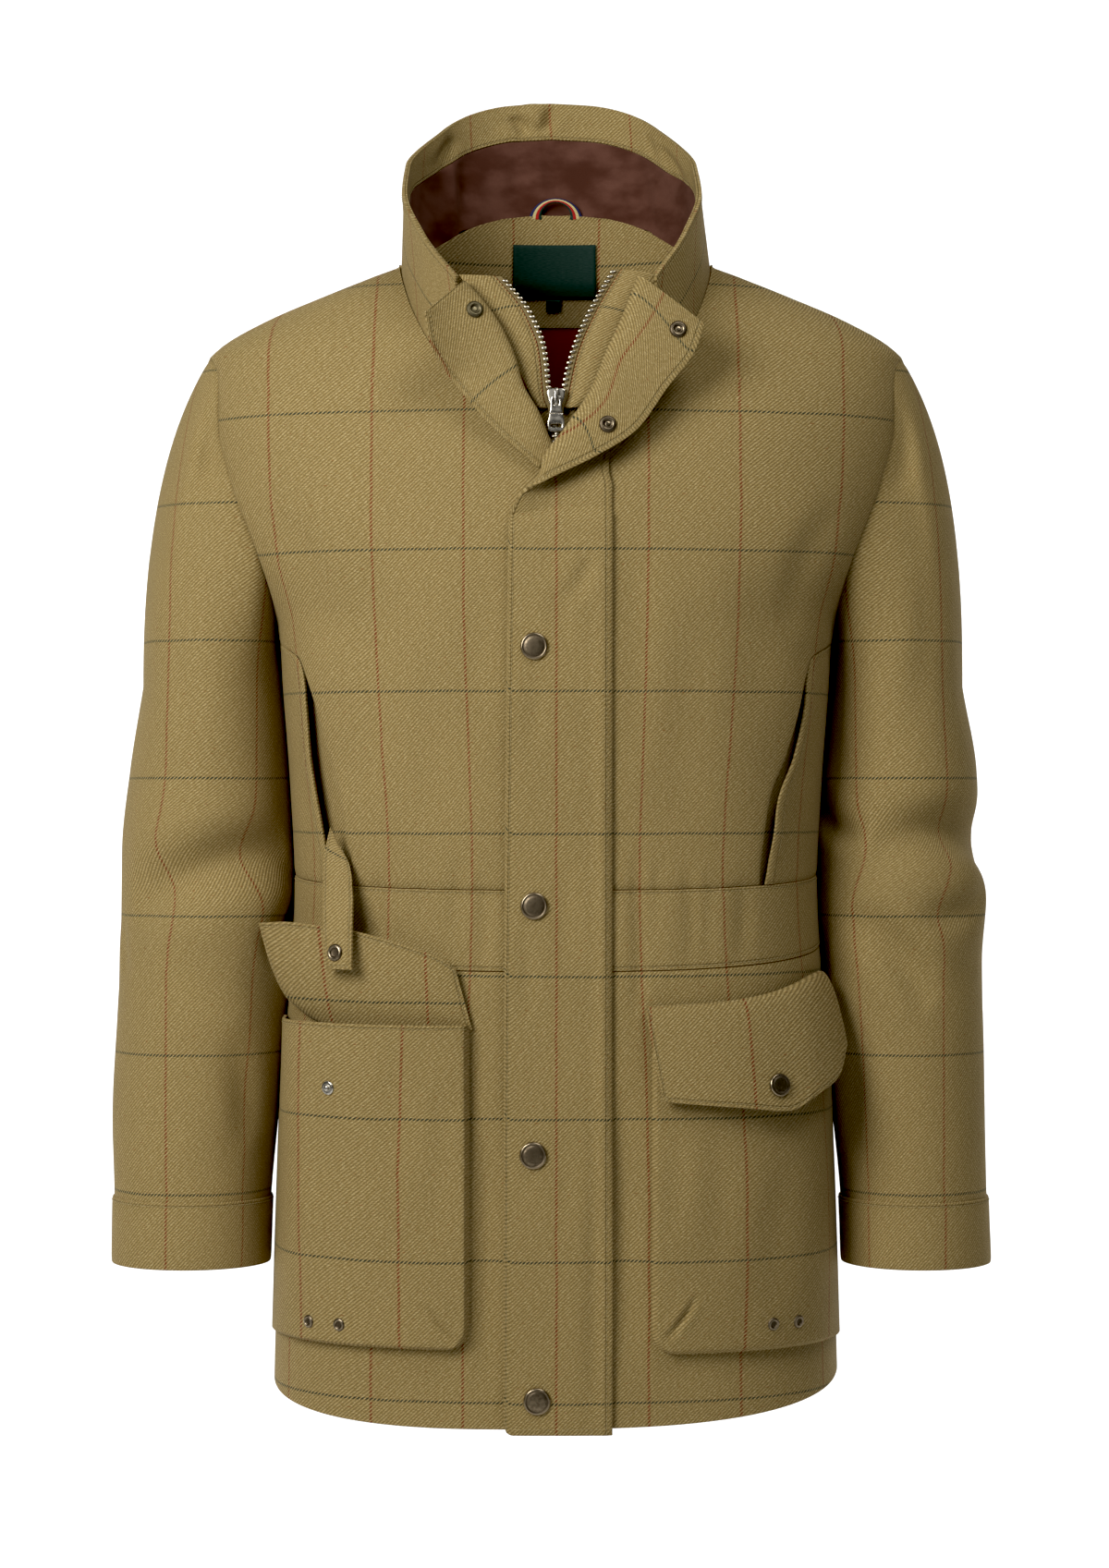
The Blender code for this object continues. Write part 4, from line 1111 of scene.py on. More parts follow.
    def round_seam(self, angle: Array, side: float, front_drop: float, back_drop: float) -> Array:
        """Height of a seam round the body: lower at the middle by a drop times the sine."""
        sin = np.sin(angle)
        return side - np.where(sin > 0, front_drop, back_drop) * np.abs(sin)

    def hem(self, angle: Array) -> Array:
        """Height of the hem."""
        level = self.round_seam(angle, self.hem_side, self.hem_front_drop, self.hem_back_drop)
        return level + self.hem_tilt * np.cos(angle)

    def waist_top(self, angle: Array) -> Array:
        """Height of the upper waist seam."""
        return self.round_seam(angle, self.waist_top_side, self.waist_top_drop, self.waist_top_drop)

    def waist_low(self, angle: Array) -> Array:
        """Height of the lower waist seam."""
        return self.round_seam(angle, self.waist_low_side, self.waist_low_drop, self.waist_low_drop)

    def armhole_middle(self, z: Array) -> Array:
        """Middle of the armhole, which leans to the shoulder seam at its top."""
        share = (z - self.armhole_z + self.armhole_half) / (2 * self.armhole_half)
        return self.shoulder_seam_y * smooth_step(share)

    def armhole_reach(self, z: Array) -> Array:
        """Share of the armhole's depth that is open at this height, as on an oval."""
        return np.sqrt(np.clip(1 - ((z - self.armhole_z) / self.armhole_half) ** 2, 0, 1))

    def armhole_depth(self, z: Array) -> Array:
        """How far forward the armhole reaches at its full share, at each height."""
        return smooth(self.armhole_front[:, 0], self.armhole_front[:, 1:], z)[..., 0]

    def armhole_heights(self, count: int) -> Array:
        """Heights that crowd at the armhole's top and underarm."""
        return self.armhole_z + self.armhole_half * np.sin(np.linspace(-math.pi / 2, math.pi / 2, count))

    def settle(
        self, heights: Array, angles: Array, seam: Callable[[Array], Array]
    ) -> Array:
        """Heights of a grid whose lowest row follows a seam, fading out above it."""
        fade = np.clip(1 - (heights - heights[0]) / self.seam_fade, 0, 1)[:, None]
        return heights[:, None] + fade * (seam(angles) + SEAM / 2 - heights[0])

    def slit_edge(self, z: Array, side: Side) -> tuple[Array, Array]:
        """x of the slanted seam, and half of its gap, at each height.

        Args:
            z: Heights.
            side: Side of the coat.

        Returns:
            The x and the half gaps.
        """
        found = smooth(self.slit[:, 0], self.slit[:, 1:], z)
        first = 0 if side is Side.RIGHT else 2
        return found[..., first], found[..., first + 1] / 2

    def slit_angle(self, z: Array, side: Side, way: int) -> Array:
        """Angle of one lip of the slanted seam, which bends to the underarm at its top.

        Args:
            z: Heights.
            side: Which side.
            way: -1 for the front lip and 1 for the back lip.

        Returns:
            The angle at each height.
        """
        x, half = self.slit_edge(z, side)
        under = self.angle_at_y(np.full_like(z, -SEAM), z)
        bend = smooth_step((z - self.armhole_foot + self.slit_bend) / self.slit_bend)
        return self.angle_at_x(x + way * half, z) * (1 - bend) + under * bend

    def collar_knots(self) -> Array:
        """Position of each collar row along the neckline, from 0 at the back to 1 at the front end."""
        steps = np.hypot(*np.diff(self.collar[:, :2], axis=0).T)
        return np.concatenate([[0.0], np.cumsum(steps)]) / steps.sum()

    def collar_base(self, along: Array) -> Array:
        """The collar's base on the left half of the body.

        Args:
            along: Shares of the way from back to front.

        Returns:
            Points of the base.
        """
        x, z = smooth(self.collar_knots(), self.collar[:, :2], along).T
        front = along > self.collar_knots()[self.collar_side_row]
        return self.torso(np.where(front, 1, -1) * self.angle_at_x(x, z), z)

    def neck_at(self, z: Array, front: bool, column: int) -> Array:
        """x (column 0) or y (column 1) of the neckline at these heights.

        Args:
            z: Heights.
            front: Whether it is the front half.
            column: Which of the two.

        Returns:
            The x or y values.
        """
        side = self.collar_knots()[self.collar_side_row]
        along = np.linspace(side, 1, 60) if front else np.linspace(0, side, 60)
        base = self.collar_base(along[::-1])
        return np.interp(z, base[:, 2], base[:, column])

    def chart(self, angle: Array, z: Array) -> Array:
        """Flat cloth places: x on the level front or back, then length round the side.

        Args:
            angle: Angles on the left half, a quarter turn either way from the side.
            z: Heights.

        Returns:
            Places on the cloth, with the level lines of the check at the line height.
        """
        way = np.where(angle < 0, -1.0, 1.0)
        x = np.abs(self.torso(angle, z)[..., 0])
        edge = way * self.angle_at_x(np.full_like(x, self.level_front), z)
        path = edge[..., None] + (angle - edge)[..., None] * np.linspace(0, 1, 16)
        run = run_length(self.torso(path, np.broadcast_to(z[..., None], path.shape)), path.ndim - 1)[..., -1]
        u = np.where(x <= self.level_front, x, self.level_front + self.side_take_up * run)
        taken_in = 1 + self.waist_pull * bell(z - self.waist_top_side, self.waist_reach)
        return np.stack([u * taken_in, z - self.line_height], axis=-1)


def mirrored(points: Array, side: Side) -> Array:
    """The left half's points on this side."""
    return points * np.array([side.value, 1.0, 1.0])


def mirrored_chart(chart: Array, side: Side) -> Array:
    """The left half's chart on this side."""
    return chart * np.array([side.value, 1.0])


class Edge(Enum):
    """An edge of a grid of cloth."""

    START = "start"
    END = "end"
    FOOT = "foot"
    HEAD = "head"


def from_edge(grid: Array, edge: Edge) -> Array:
    """Grid turned so that its first axis runs inwards from one edge.

    Args:
        grid: Grid with rows first.
        edge: The edge to start from.

    Returns:
        A view of the grid, with steps inwards first and places along the edge second.
    """
    if edge is Edge.START:
        return np.swapaxes(grid, 0, 1)
    if edge is Edge.END:
        return np.swapaxes(grid, 0, 1)[::-1]
    return grid if edge is Edge.FOOT else grid[::-1]


def sewn_at(points: Array, *lines: tuple[Edge, float]) -> Array:
    """Signed distance of each point to the nearest line of sewing, each a set way in from an edge.

    Args:
        points: Grid of places.
        lines: Edges and how far in from each the line runs.

    Returns:
        One distance for each point.
    """
    runs = edge_runs(points)
    away = np.stack([runs[edge.value] - inset for edge, inset in lines])
    nearest = np.abs(away).argmin(axis=0)
    return np.take_along_axis(away, nearest[None], axis=0)[0]


@dataclass
class Sewing:
    """All the topstitching: short raised stitches along lines on the cloth.

    Attributes:
        pitch: Distance from one stitch to the next.
        length: Length of a stitch.
        radius: Half thickness of the thread.
    """

    pitch: float = 3.0 * MM
    length: float = 2.3 * MM
    radius: float = 0.3 * MM
    places: list[Array] = field(default_factory=list)

    def along(self, path: Array, normal: Array) -> None:
        """Stitch an open line: each stitch is a spindle of two square rings between two sunk tips.

        Args:
            path: Places of the line on the cloth's face.
            normal: Outward directions there.
        """
        run = run_length(path, 0)
        count = int(run[-1] / self.pitch)
        if count < 2:
            return
        at = (np.arange(count) + 0.5) * run[-1] / count
        middle = sampled(at, run, path)
        ahead = sampled(at + self.length / 4, run, path)
        out = unit(sampled(at, run, normal))
        way = unit(ahead - middle)
        beside = np.cross(out, way)
        ring = np.array([[0, 1.5], [1, 0.5], [0, -0.5], [-1, 0.5]]) * self.radius
        rows = [[-self.length / 2, 0, -self.radius / 2]]
        for step in (-self.length / 4, self.length / 4):
            rows += [[step, side, rise] for side, rise in ring]
        rows.append([self.length / 2, 0, -self.radius / 2])
        form = np.array(rows)
        frame = np.stack([way, beside, out], axis=1)
        self.places.append(middle[:, None, :] + np.einsum("pk,nkc->npc", form, frame))

    def edge(
        self, points: Array, edge: Edge, inset: float, flip: bool, first: float = 0.0, last: float = 1.0
    ) -> None:
        """Stitch a line that runs a set way in from a grid's edge.

        Args:
            points: Grid of places on the cloth's face.
            edge: The edge that the line follows.
            inset: Distance from that edge.
            flip: True where the grid's own normals point inwards.
            first: Share of the edge where the line starts.
            last: Share where it ends.
        """
        normals = grid_normals(points) * (-1.0 if flip else 1.0)
        run = from_edge(edge_runs(points)[edge.value], edge)
        places, ways = from_edge(points, edge), from_edge(normals, edge)
        step = np.clip((run < inset).sum(axis=0), 1, len(run) - 1)
        column = np.arange(run.shape[1])
        low, high = run[step - 1, column], run[step, column]
        share = np.clip((inset - low) / np.maximum(high - low, 1e-9), 0, 1)[:, None]
        path = places[step - 1, column] * (1 - share) + places[step, column] * share
        begin, end = int(first * (len(path) - 1)), int(last * (len(path) - 1)) + 1
        self.along(path[begin:end], ways[step, column][begin:end])

    def build(self) -> Thing:
        """One mesh of every stitch.

        Returns:
            The finished object.
        """
        points = np.concatenate(self.places)
        tips = [[0, 2, 1], [0, 3, 2], [0, 4, 3], [0, 1, 4]]
        sides = [[1, 2, 6, 5], [2, 3, 7, 6], [3, 4, 8, 7], [4, 1, 5, 8]]
        ends = [[9, 5, 6], [9, 6, 7], [9, 7, 8], [9, 8, 5]]
        first = np.arange(0, points.shape[0] * points.shape[1], points.shape[1])[:, None, None]
        quads, corners = first + np.array(sides), first + np.array(tips + ends)
        faces = quads.reshape(-1, 4).tolist() + corners.reshape(-1, 3).tolist()
        made = put_mesh("topstitching", points, faces, [THREAD.material()])
        attach(made)
        return made


FRONT_CREASES: dict[Side, list[Crease]] = {
    Side.RIGHT: creases(
        (62, -398, 60, -452, 2, 6, 1.6), (48, -404, 49, -478, -2, 6, 1.6),
        (88, -415, 86, -446, 1, 6, 0.9), (44, -560, 42, -740, 3, 11, 3.2),
        (56, -500, 60, -600, -2, 9, 1.6), (112, -405, 109, -470, 2, 7, 1.0),
        (76, -260, 70, -390, 6, 17, 1.6), (128, -190, 112, -330, -8, 20, 2.0),
        (46, -215, 48, -330, 3, 12, 1.1), (186, -170, 150, -262, -10, 12, 2.2),
    ),
    Side.LEFT: creases(
        (51, -392, 52, -500, 2, 5.5, 2.2), (45, -540, 47, -730, -3, 11, 2.4),
        (66, -398, 64, -478, -2, 5, 1.2), (84, -402, 86, -470, 2, 5.5, 1.3),
        (99, -404, 98, -476, -1, 5, 1.0), (121, -410, 119, -466, 1, 6, 1.1),
        (48, -180, 50, -340, 3, 12, 1.5), (92, -240, 84, -380, -5, 18, 1.6),
        (130, -200, 118, -320, 8, 20, 1.8), (188, -165, 152, -258, -10, 12, 2.2),
    ),
}
BACK_CREASES: list[Crease] = creases(
    (-118, -395, -114, -470, 2, 6, 1.4), (-74, -390, -76, -486, -2, 6, 1.7),
    (-30, -400, -29, -468, 1, 5, 1.1), (22, -392, 24, -480, 2, 6, 1.5),
    (66, -398, 62, -474, -2, 6, 1.3), (108, -394, 112, -482, 2, 6, 1.6),
    (-150, -190, -92, -330, 12, 20, 2.4), (146, -196, 96, -318, -10, 20, 2.2),
    (-60, -520, -68, -700, 5, 22, 2.2), (48, -510, 58, -690, -6, 24, 2.0),
    (-10, -130, -6, -330, 4, 26, 1.4), (-138, -530, -134, -650, 3, 16, 1.3),
)
FACING_CUTS = {Side.RIGHT: (0.042, 0.138), Side.LEFT: (0.033, 0.13)}


@dataclass
class Panels:
    """Fronts, side panels, waistbands, skirts, back and the cloth inside the hand slits.

    Attributes:
        form: The body's form.
        sewing: Where stitches are collected.
    """

    form: BodyForm
    sewing: Sewing
    lip: float = 3.5 * MM
    lip_wide: float = 16 * MM
    lip_stitch: float = 7 * MM
    slit_deep: float = 5 * MM
    slit_middle: float = -360 * MM
    slit_reach: float = 55 * MM
    facing_margin: float = 9 * MM
    front_tuck: float = 1.2 * MM
    belt_tuck: float = 0.7 * MM
    waist_stitch: float = 2.2 * MM

    def front(self, side: Side) -> None:
        """Chest panel: rows at one height each, from the zip to slanted seam, armhole and shoulder seam.

        Args:
            side: Which front.
        """
        form = self.form
        low = np.linspace(form.waist_foot, form.armhole_foot, 50)[:-1]
        middle = form.armhole_heights(48)
        high = np.concatenate([np.linspace(-63, -9, 16), [-6.5, -4.2, -2.6]]) * MM
        heights = np.concatenate([low, middle, high])
        dip = np.interp(heights, form.neck_front[:, 0], form.neck_front[:, 1], left=SEAM / 2)
        neck = form.neck_at(heights, True, 0) + form.neck_margin
        starts = form.angle_at_x(np.where(heights > form.neck_front[-1, 0], neck, dip), heights)
        ends_low = form.slit_angle(low, side, -1)
        arm_y = form.armhole_middle(middle) - form.armhole_depth(middle) * form.armhole_reach(middle) - SEAM
        ends_high = form.angle_at_y(np.full_like(high, form.shoulder_seam_y - SEAM), high)
        ends = np.concatenate([ends_low, form.angle_at_y(arm_y, middle), ends_high])
        angles = form.spread(heights, starts, ends, edged(70, 180 * MM))
        z = form.settle(heights, angles, form.waist_top)
        points = form.torso(angles, z)
        chart = mirrored_chart(form.chart(angles, z), side)
        points = creased(points, points[..., 0] / MM, z / MM, FRONT_CREASES[side])
        runs = edge_runs(points)
        points = tucked(points, [runs["end"], runs["foot"], runs["head"]], False, self.front_tuck)
        points = mirrored(points, side)
        flip = side is Side.RIGHT
        Cloth("front_" + side.word, points, chart, (0.25, 0.43), 0.71, flip=flip, inner=LINING,
              sewn=sewn_at(points, (Edge.HEAD, 2 * MM))).build()

    def side_panel(self, side: Side) -> None:
        """Narrow panel between the slanted seam and the side seam.

        Args:
            side: Which side.
        """
        form = self.form
        heights = np.linspace(form.waist_foot, form.armhole_foot - 2 * MM, 48)
        starts = form.slit_angle(heights, side, 1)
        ends = form.angle_at_y(np.full_like(heights, SEAM_LAP), heights)
        angles = form.spread(heights, starts, ends, edged(24, 75 * MM))
        z = form.settle(heights, angles, form.waist_top)
        points = form.torso(angles, z)
        chart = mirrored_chart(form.chart(angles, z), side)
        runs = edge_runs(points)
        open_here = bell(heights - self.slit_middle, self.slit_reach)[:, None]
        proud = self.lip * open_here * (1 - smooth_step(runs["start"] / self.lip_wide))
        points = tucked(points, [runs["end"], runs["start"], runs["foot"]], False)
        points = mirrored(points + form.normal(angles, z) * proud[..., None], side)
        flip = side is Side.RIGHT
        Cloth("side_" + side.word, points, chart, (0.125, 0.17), 0.74, flip=flip, inner=LINING,
              sewn=sewn_at(points, (Edge.START, self.lip_stitch))).build()
        self.sewing.edge(points, Edge.START, self.lip_stitch, flip, 0.12, 0.95)

    def belt(
        self, name: str, side: Side, seams: tuple[Callable, Callable], rows: int,
        cut: Pair, lines: list[tuple[Edge, float]],
    ) -> None:
        """Front piece between two seams that run round the body.

        Args:
            name: The node's name without its side.
            side: Which side.
            seams: Heights of the lower and the upper seam.
            rows: Rows of points.
            cut: Width and length that it was cut to.
            lines: Edges with topstitching, and how far in it runs.
        """
        form = self.form
        lower, upper = seams
        front = np.array([math.pi / 2])
        shares = edged(rows, float(upper(front)[0] - lower(front)[0]))
        heights = lower(front) + (upper(front) - lower(front)) * shares
        starts = form.angle_at_x(np.full_like(heights, SEAM / 2), heights)
        ends = form.angle_at_y(np.full_like(heights, SEAM_LAP), heights)
        angles = form.spread(heights, starts, ends, edged(84, 290 * MM))
        own = angles if side is Side.LEFT else math.pi - angles
        foot, head = lower(own) + SEAM / 2, upper(own) - SEAM / 2
        z = foot + (head - foot) * shares[:, None]
        points = form.torso(angles, z)
        chart = mirrored_chart(form.chart(angles, z), side)
        points = creased(points, points[..., 0] / MM, z / MM, FRONT_CREASES[side])
        runs = edge_runs(points)
        points = mirrored(tucked(points, [runs["end"], runs["head"]], False, self.belt_tuck), side)
        flip = side is Side.RIGHT
        sewn = sewn_at(points, *lines) if lines else None
        Cloth(name + side.word, points, chart, cut, flip=flip, inner=LINING, sewn=sewn).build()
        for edge, inset in lines:
            self.sewing.edge(points, edge, inset, flip, 0.04, 0.98)

    def back(self) -> None:
        """One back panel, over the shoulders to the forward shoulder seams and up to the back neck."""
        form = self.form
        low = np.linspace(form.hem_side - form.hem_back_drop, form.armhole_foot, 84)[:-1]
        middle = form.armhole_heights(44)
        high = np.concatenate([np.linspace(-63, -8, 15), [-3, 2, 8, 14, 20, 26, 31, 35, 38, 41]]) * MM
        heights = np.concatenate([low, middle, high])
        arm_y = form.armhole_middle(middle) + form.armhole_back * form.armhole_reach(middle) + SEAM
        over = high < -1 * MM
        neck_y = form.neck_at(high, False, 1) + form.neck_margin
        ends_high = form.angle_at_y(np.where(over, form.shoulder_seam_y + SEAM, neck_y), high)
        ends_low = form.angle_at_y(np.full_like(low, -SEAM_LAP), low)
        ends = np.concatenate([ends_low, form.angle_at_y(arm_y, middle), ends_high])
        angles = form.spread(heights, -math.pi - ends, ends, edged(110, 500 * MM))
        z = form.settle(heights, angles, form.hem)
        points = form.torso(angles, z)
        left = np.where(angles > -math.pi / 2, angles, -math.pi - angles)
        chart = form.chart(left, z)
        chart[..., 0] *= np.sign(points[..., 0])
        raised = [replace(row, depth=-row.depth) for row in BACK_CREASES]
        points = creased(points, points[..., 0] / MM, z / MM, raised)
        runs = edge_runs(points)
        points = tucked(points, [runs["start"], runs["end"]], True)
        Cloth("back", points, chart, (0.56, 0.84), 0.85, flip=True, inner=LINING,
              rests_on=("front_left", "front_right")).build()

    def hand_facing(self, side: Side) -> None:
        """Cloth that shows through the open slit.

        Args:
            side: Which side.
        """
        form = self.form
        heights = np.linspace(-423, -280, 34) * MM
        slit_x, slit_half = form.slit_edge(heights, side)
        margin = slit_half + self.facing_margin
        starts = form.angle_at_x(slit_x - margin, heights)
        ends = form.angle_at_x(slit_x + margin, heights)
        angles = form.spread(heights, starts, ends, np.linspace(0, 1, 8))
        z = np.broadcast_to(heights[:, None], angles.shape)
        depth = WALL + 1.5 * INNER_GAP + self.slit_deep
        points = mirrored(form.torso(angles, z) - form.normal(angles, z) * depth, side)
        chart = mirrored_chart(form.chart(angles, z), side)
        Cloth("hand_facing_" + side.word, points, chart, FACING_CUTS[side], wall=THIN_WALL,
              flip=side is Side.RIGHT, held=Held.LAID, rests_on=("front_" + side.word,)).build()

    def build(self) -> None:
        """Every panel."""
        form = self.form
        lines = [(Edge.HEAD, self.waist_stitch), (Edge.FOOT, self.waist_stitch)]
        self.back()
        for side in Side:
            self.front(side)
            self.side_panel(side)
            self.belt("waistband_", side, (form.waist_low, form.waist_top), 22, (0.264, 0.05), lines)
            self.belt("skirt_", side, (form.hem, form.waist_low), 66, (0.27, 0.294), [])
            self.hand_facing(side)


SLEEVE_CREASES: dict[Side, list[Crease]] = {
    Side.RIGHT: creases(
        (50, -430, -68, -394, -8, 20, 11.0), (-42, -464, -88, -434, 0, 14, 6.5),
        (46, -98, 4, -160, 2, 8, 2.4), (70, -440, 58, -478, 3, 7, 2.0),
        (20, -455, -28, -500, 4, 14, 1.6), (-24, -515, -44, -590, -4, 13, 2.8),
        (30, -210, 4, -330, 5, 16, 1.5), (100, -378, 200, -392, 6, 10, 4.0),
        (120, -410, 210, -400, -5, 11, 3.2), (128, -180, 168, -320, 6, 18, 2.4),
        (110, -470, 170, -560, -8, 16, 2.0),
    ),
    Side.LEFT: creases(
        (98, -394, -22, -388, -9, 18, 10.0), (72, -424, 2, -438, 4, 11, 4.4),
        (-30, -388, -85, -358, 3, 10, 4.6), (48, -98, 4, -160, 2, 8, 3.0),
        (-38, -432, 16, -496, 5, 14, 7.0), (-40, -520, -50, -600, -4, 12, 1.6),
        (26, -205, 2, -325, 5, 16, 1.6), (105, -372, 205, -388, 6, 10, 3.6),
        (112, -412, 200, -402, -5, 11, 3.0), (126, -185, 170, -315, 6, 18, 2.2),
        (116, -480, 168, -570, -8, 16, 2.2),
    ),
}


@dataclass
class Sleeves:
    """Sleeves with their heads and elbow creases, and turned cuffs.

    Attributes:
        form: The body's form, for the armholes.
        sewing: Where stitches are collected.
        sections: Height, inner x, outer x, middle y and half depth, below the underarm.
    """

    form: BodyForm
    sewing: Sewing
    sections: dict[Side, Array] = field(default_factory=lambda: {
        Side.RIGHT: table([
            [-668, 191.5, 294.5, -33, 51],
            [-631, 190.5, 294.5, -29, 52],
            [-570, 185.5, 296.5, -23, 55],
            [-500, 178.5, 293.5, -17, 57],
            [-440, 174.5, 292, -12, 58],
            [-395, 175, 292, -8, 60],
            [-340, 177.8, 287, -2, 63],
            [-285, 182, 278.5, 2, 66],
        ]),
        Side.LEFT: table([
            [-668, 191.5, 288.5, -33, 51],
            [-631, 190.5, 287.5, -29, 52],
            [-540, 182, 286.5, -21, 55],
            [-470, 176.5, 286, -14, 57.5],
            [-430, 174, 288, -11, 59],
            [-387, 175.5, 282, -7, 60],
            [-340, 179.8, 282.5, -2, 63],
            [-285, 183, 274.5, 2, 66],
        ]),
    })
    underarm: float = -285 * MM
    foot: float = -624 * MM
    cuff_foot: float = -668 * MM
    cuff_step: float = 1.6 * MM
    allowance: float = 4 * MM
    gap: float = -3.0 * MM
    lean_top: float = 58.0
    lean_under: float = 76.0
    columns: int = 100
    line_height: float = -346.5 * MM
    line_turn: float = 24.5 * MM
    line_middle: float = 232 * MM
    line_round: float = 58.5 * MM
    elbow: float = -392 * MM
    elbow_reach: float = 24 * MM
    elbow_pull: float = 7 * MM
    elbow_below: float = 42 * MM
    elbow_back: float = 0.7
    head_tuck: float = 1.1 * MM
    cuff_tuck: float = 0.5 * MM
    cuff_stitch: float = 2.6 * MM

    def turns(self, count: int) -> Array:
        """Turns round the arm from its inner side: 0 is the front and a quarter turn the outer side."""
        return np.linspace(-math.pi / 2, 1.5 * math.pi, count + 1)

    def rings(self, side: Side, turn: Array, z: Array, step: float = 0.0) -> Array:
        """Ovals of the arm, one for each height.

        Args:
            side: Which arm.
            turn: Turns round the arm.
            z: Heights.
            step: How much wider than the sleeve.

        Returns:
            Grid of places on the left-hand side.
        """
        rows = smooth(self.sections[side][:, 0], self.sections[side][:, 1:], z)
        inner, outer, middle, deep = (rows[:, column, None] for column in range(4))
        x = (inner + outer) / 2 + ((outer - inner) / 2 + step) * np.sin(turn)
        y = middle - (deep + step) * np.cos(turn)
        return np.stack([x, y, np.broadcast_to(z[:, None], x.shape)], axis=-1)

    def head(self, side: Side, turn: Array, rows: int) -> Array:
        """Sleeve head: cubic curves that leave the armhole at a lean and arrive straight down.

        Args:
            side: Which arm.
            turn: Turns round the arm.
            rows: Rows of points.

        Returns:
            Grid of places from the armhole down, without the last ring.
        """
        form = self.form
        z = form.armhole_z + form.armhole_half * np.sin(turn)
        depth = np.where(np.cos(turn) > 0, form.armhole_depth(z), form.armhole_back)
        y = form.armhole_middle(z) - depth * np.cos(turn)
        hole = form.torso(form.angle_at_y(y, z), z)
        lean = np.radians(self.lean_under + (self.lean_top - self.lean_under) * (1 + np.sin(turn)) / 2)
        leave = np.stack([np.cos(lean), -0.15 * np.cos(turn), -np.sin(lean)], axis=-1)
        start = hole + leave * self.gap
        end = self.rings(side, turn, np.array([self.underarm]))[0]
        reach = np.linalg.norm(end - start, axis=-1, keepdims=True)
        t = np.linspace(0, 1, rows + 1)[:-1, None, None] ** 1.25
        held = start * (1 + 2 * t) * (1 - t) ** 2 + end * t * t * (3 - 2 * t)
        down = np.array([0.0, 0.0, -1.0])
        return held + leave * reach * t * (1 - t) ** 2 + down * reach * t * t * (t - 1)

    def chart(self, side: Side, points: Array) -> Array:
        """Flat cloth: length round an upright tube through the arm, drawn aside at the elbow, by height.

        Args:
            side: Which arm.
            points: The grid.

        Returns:
            Places on the cloth, with the first column given again at the end.
        """
        lap = np.concatenate([points, points[:, :1]], axis=1)
        x, y, z = np.moveaxis(lap, -1, 0)
        rows = self.sections[side]
        middle = smooth(rows[:, 0], rows[:, 3:4], np.minimum(z, self.underarm))[..., 0]
        turn = np.unwrap(np.arctan2(x - self.line_middle, middle - y), axis=1)
        drawn = bell(z - self.elbow, self.elbow_reach)
        drawn -= self.elbow_back * bell(z - self.elbow + self.elbow_below, self.elbow_reach)
        across = side.value * (turn * self.line_round - self.line_turn - self.elbow_pull * drawn)
        return np.stack([across, z - self.line_height], axis=-1)

    def sleeve(self, side: Side) -> None:
        """Sleeve from its foot up to the armhole.

        Args:
            side: Which arm.
        """
        turn = self.turns(self.columns)
        heights = np.linspace(self.foot - self.allowance, self.underarm, 91)
        head = self.head(side, turn[:-1], 32)[::-1]
        points = np.concatenate([self.rings(side, turn[:-1], heights), head])
        chart = self.chart(side, points)
        degrees = np.broadcast_to(np.degrees(turn[:-1]), points.shape[:2])
        points = creased(points, degrees, points[..., 2] / MM, SLEEVE_CREASES[side], True)
        points = mirrored(tucked(points, [edge_runs(points)["head"]], False, self.head_tuck), side)
        Cloth("sleeve_" + side.word, points, chart, (0.38, 0.56), 0.8, flip=side is Side.RIGHT, closed=True,
              inner=LINING, rests_on=("back", "front_" + side.word)).build()

    def cuff(self, side: Side) -> None:
        """Turned cuff, a step wider than the sleeve, rounded in a little at both edges.

        Args:
            side: Which arm.
        """
        turn = self.turns(self.columns)
        shares = edged(22, self.foot - self.cuff_foot)
        heights = self.cuff_foot + (self.foot - SEAM - self.cuff_foot) * shares
        points = self.rings(side, turn[:-1], heights, self.cuff_step)
        chart = self.chart(side, points)
        runs = edge_runs(points)
        points = mirrored(tucked(points, [runs["foot"], runs["head"]], False, self.cuff_tuck), side)
        flip = side is Side.RIGHT
        Cloth("cuff_" + side.word, points, chart, (0.334, 0.044), flip=flip, closed=True, inner=LINING,
              rests_on=("sleeve_" + side.word,), sewn=sewn_at(points, (Edge.HEAD, self.cuff_stitch))).build()
        self.sewing.edge(points, Edge.HEAD, self.cuff_stitch, flip)

    def build(self) -> None:
        """Both sleeves and cuffs."""
        for side in Side:
            self.sleeve(side)
            self.cuff(side)


COLLAR_CREASES: list[Crease] = creases(
    (-26, 78, -16, 64, 2, 5, -8.0), (-1, 84, -4, 66, 1, 4, -8.0),
    (-88, 60, -70, 76, 3, 8, -7.0), (84, 76, 100, 56, 3, 6, -5.0),
    (70, 80, 84, 62, -2, 5, -2.2), (-66, 56, -66, 2, 3, 7, -4.4),
    (-80, 60, -78, 4, 2, 7, 4.0), (64, 58, 70, 6, -3, 9, -3.0),
    (-24, 54, -27, 10, 2, 9, -2.2), (-1, 52, 1, 20, -1, 6, -1.8),
    (26, 44, 50, 24, 5, 12, -1.6),
)


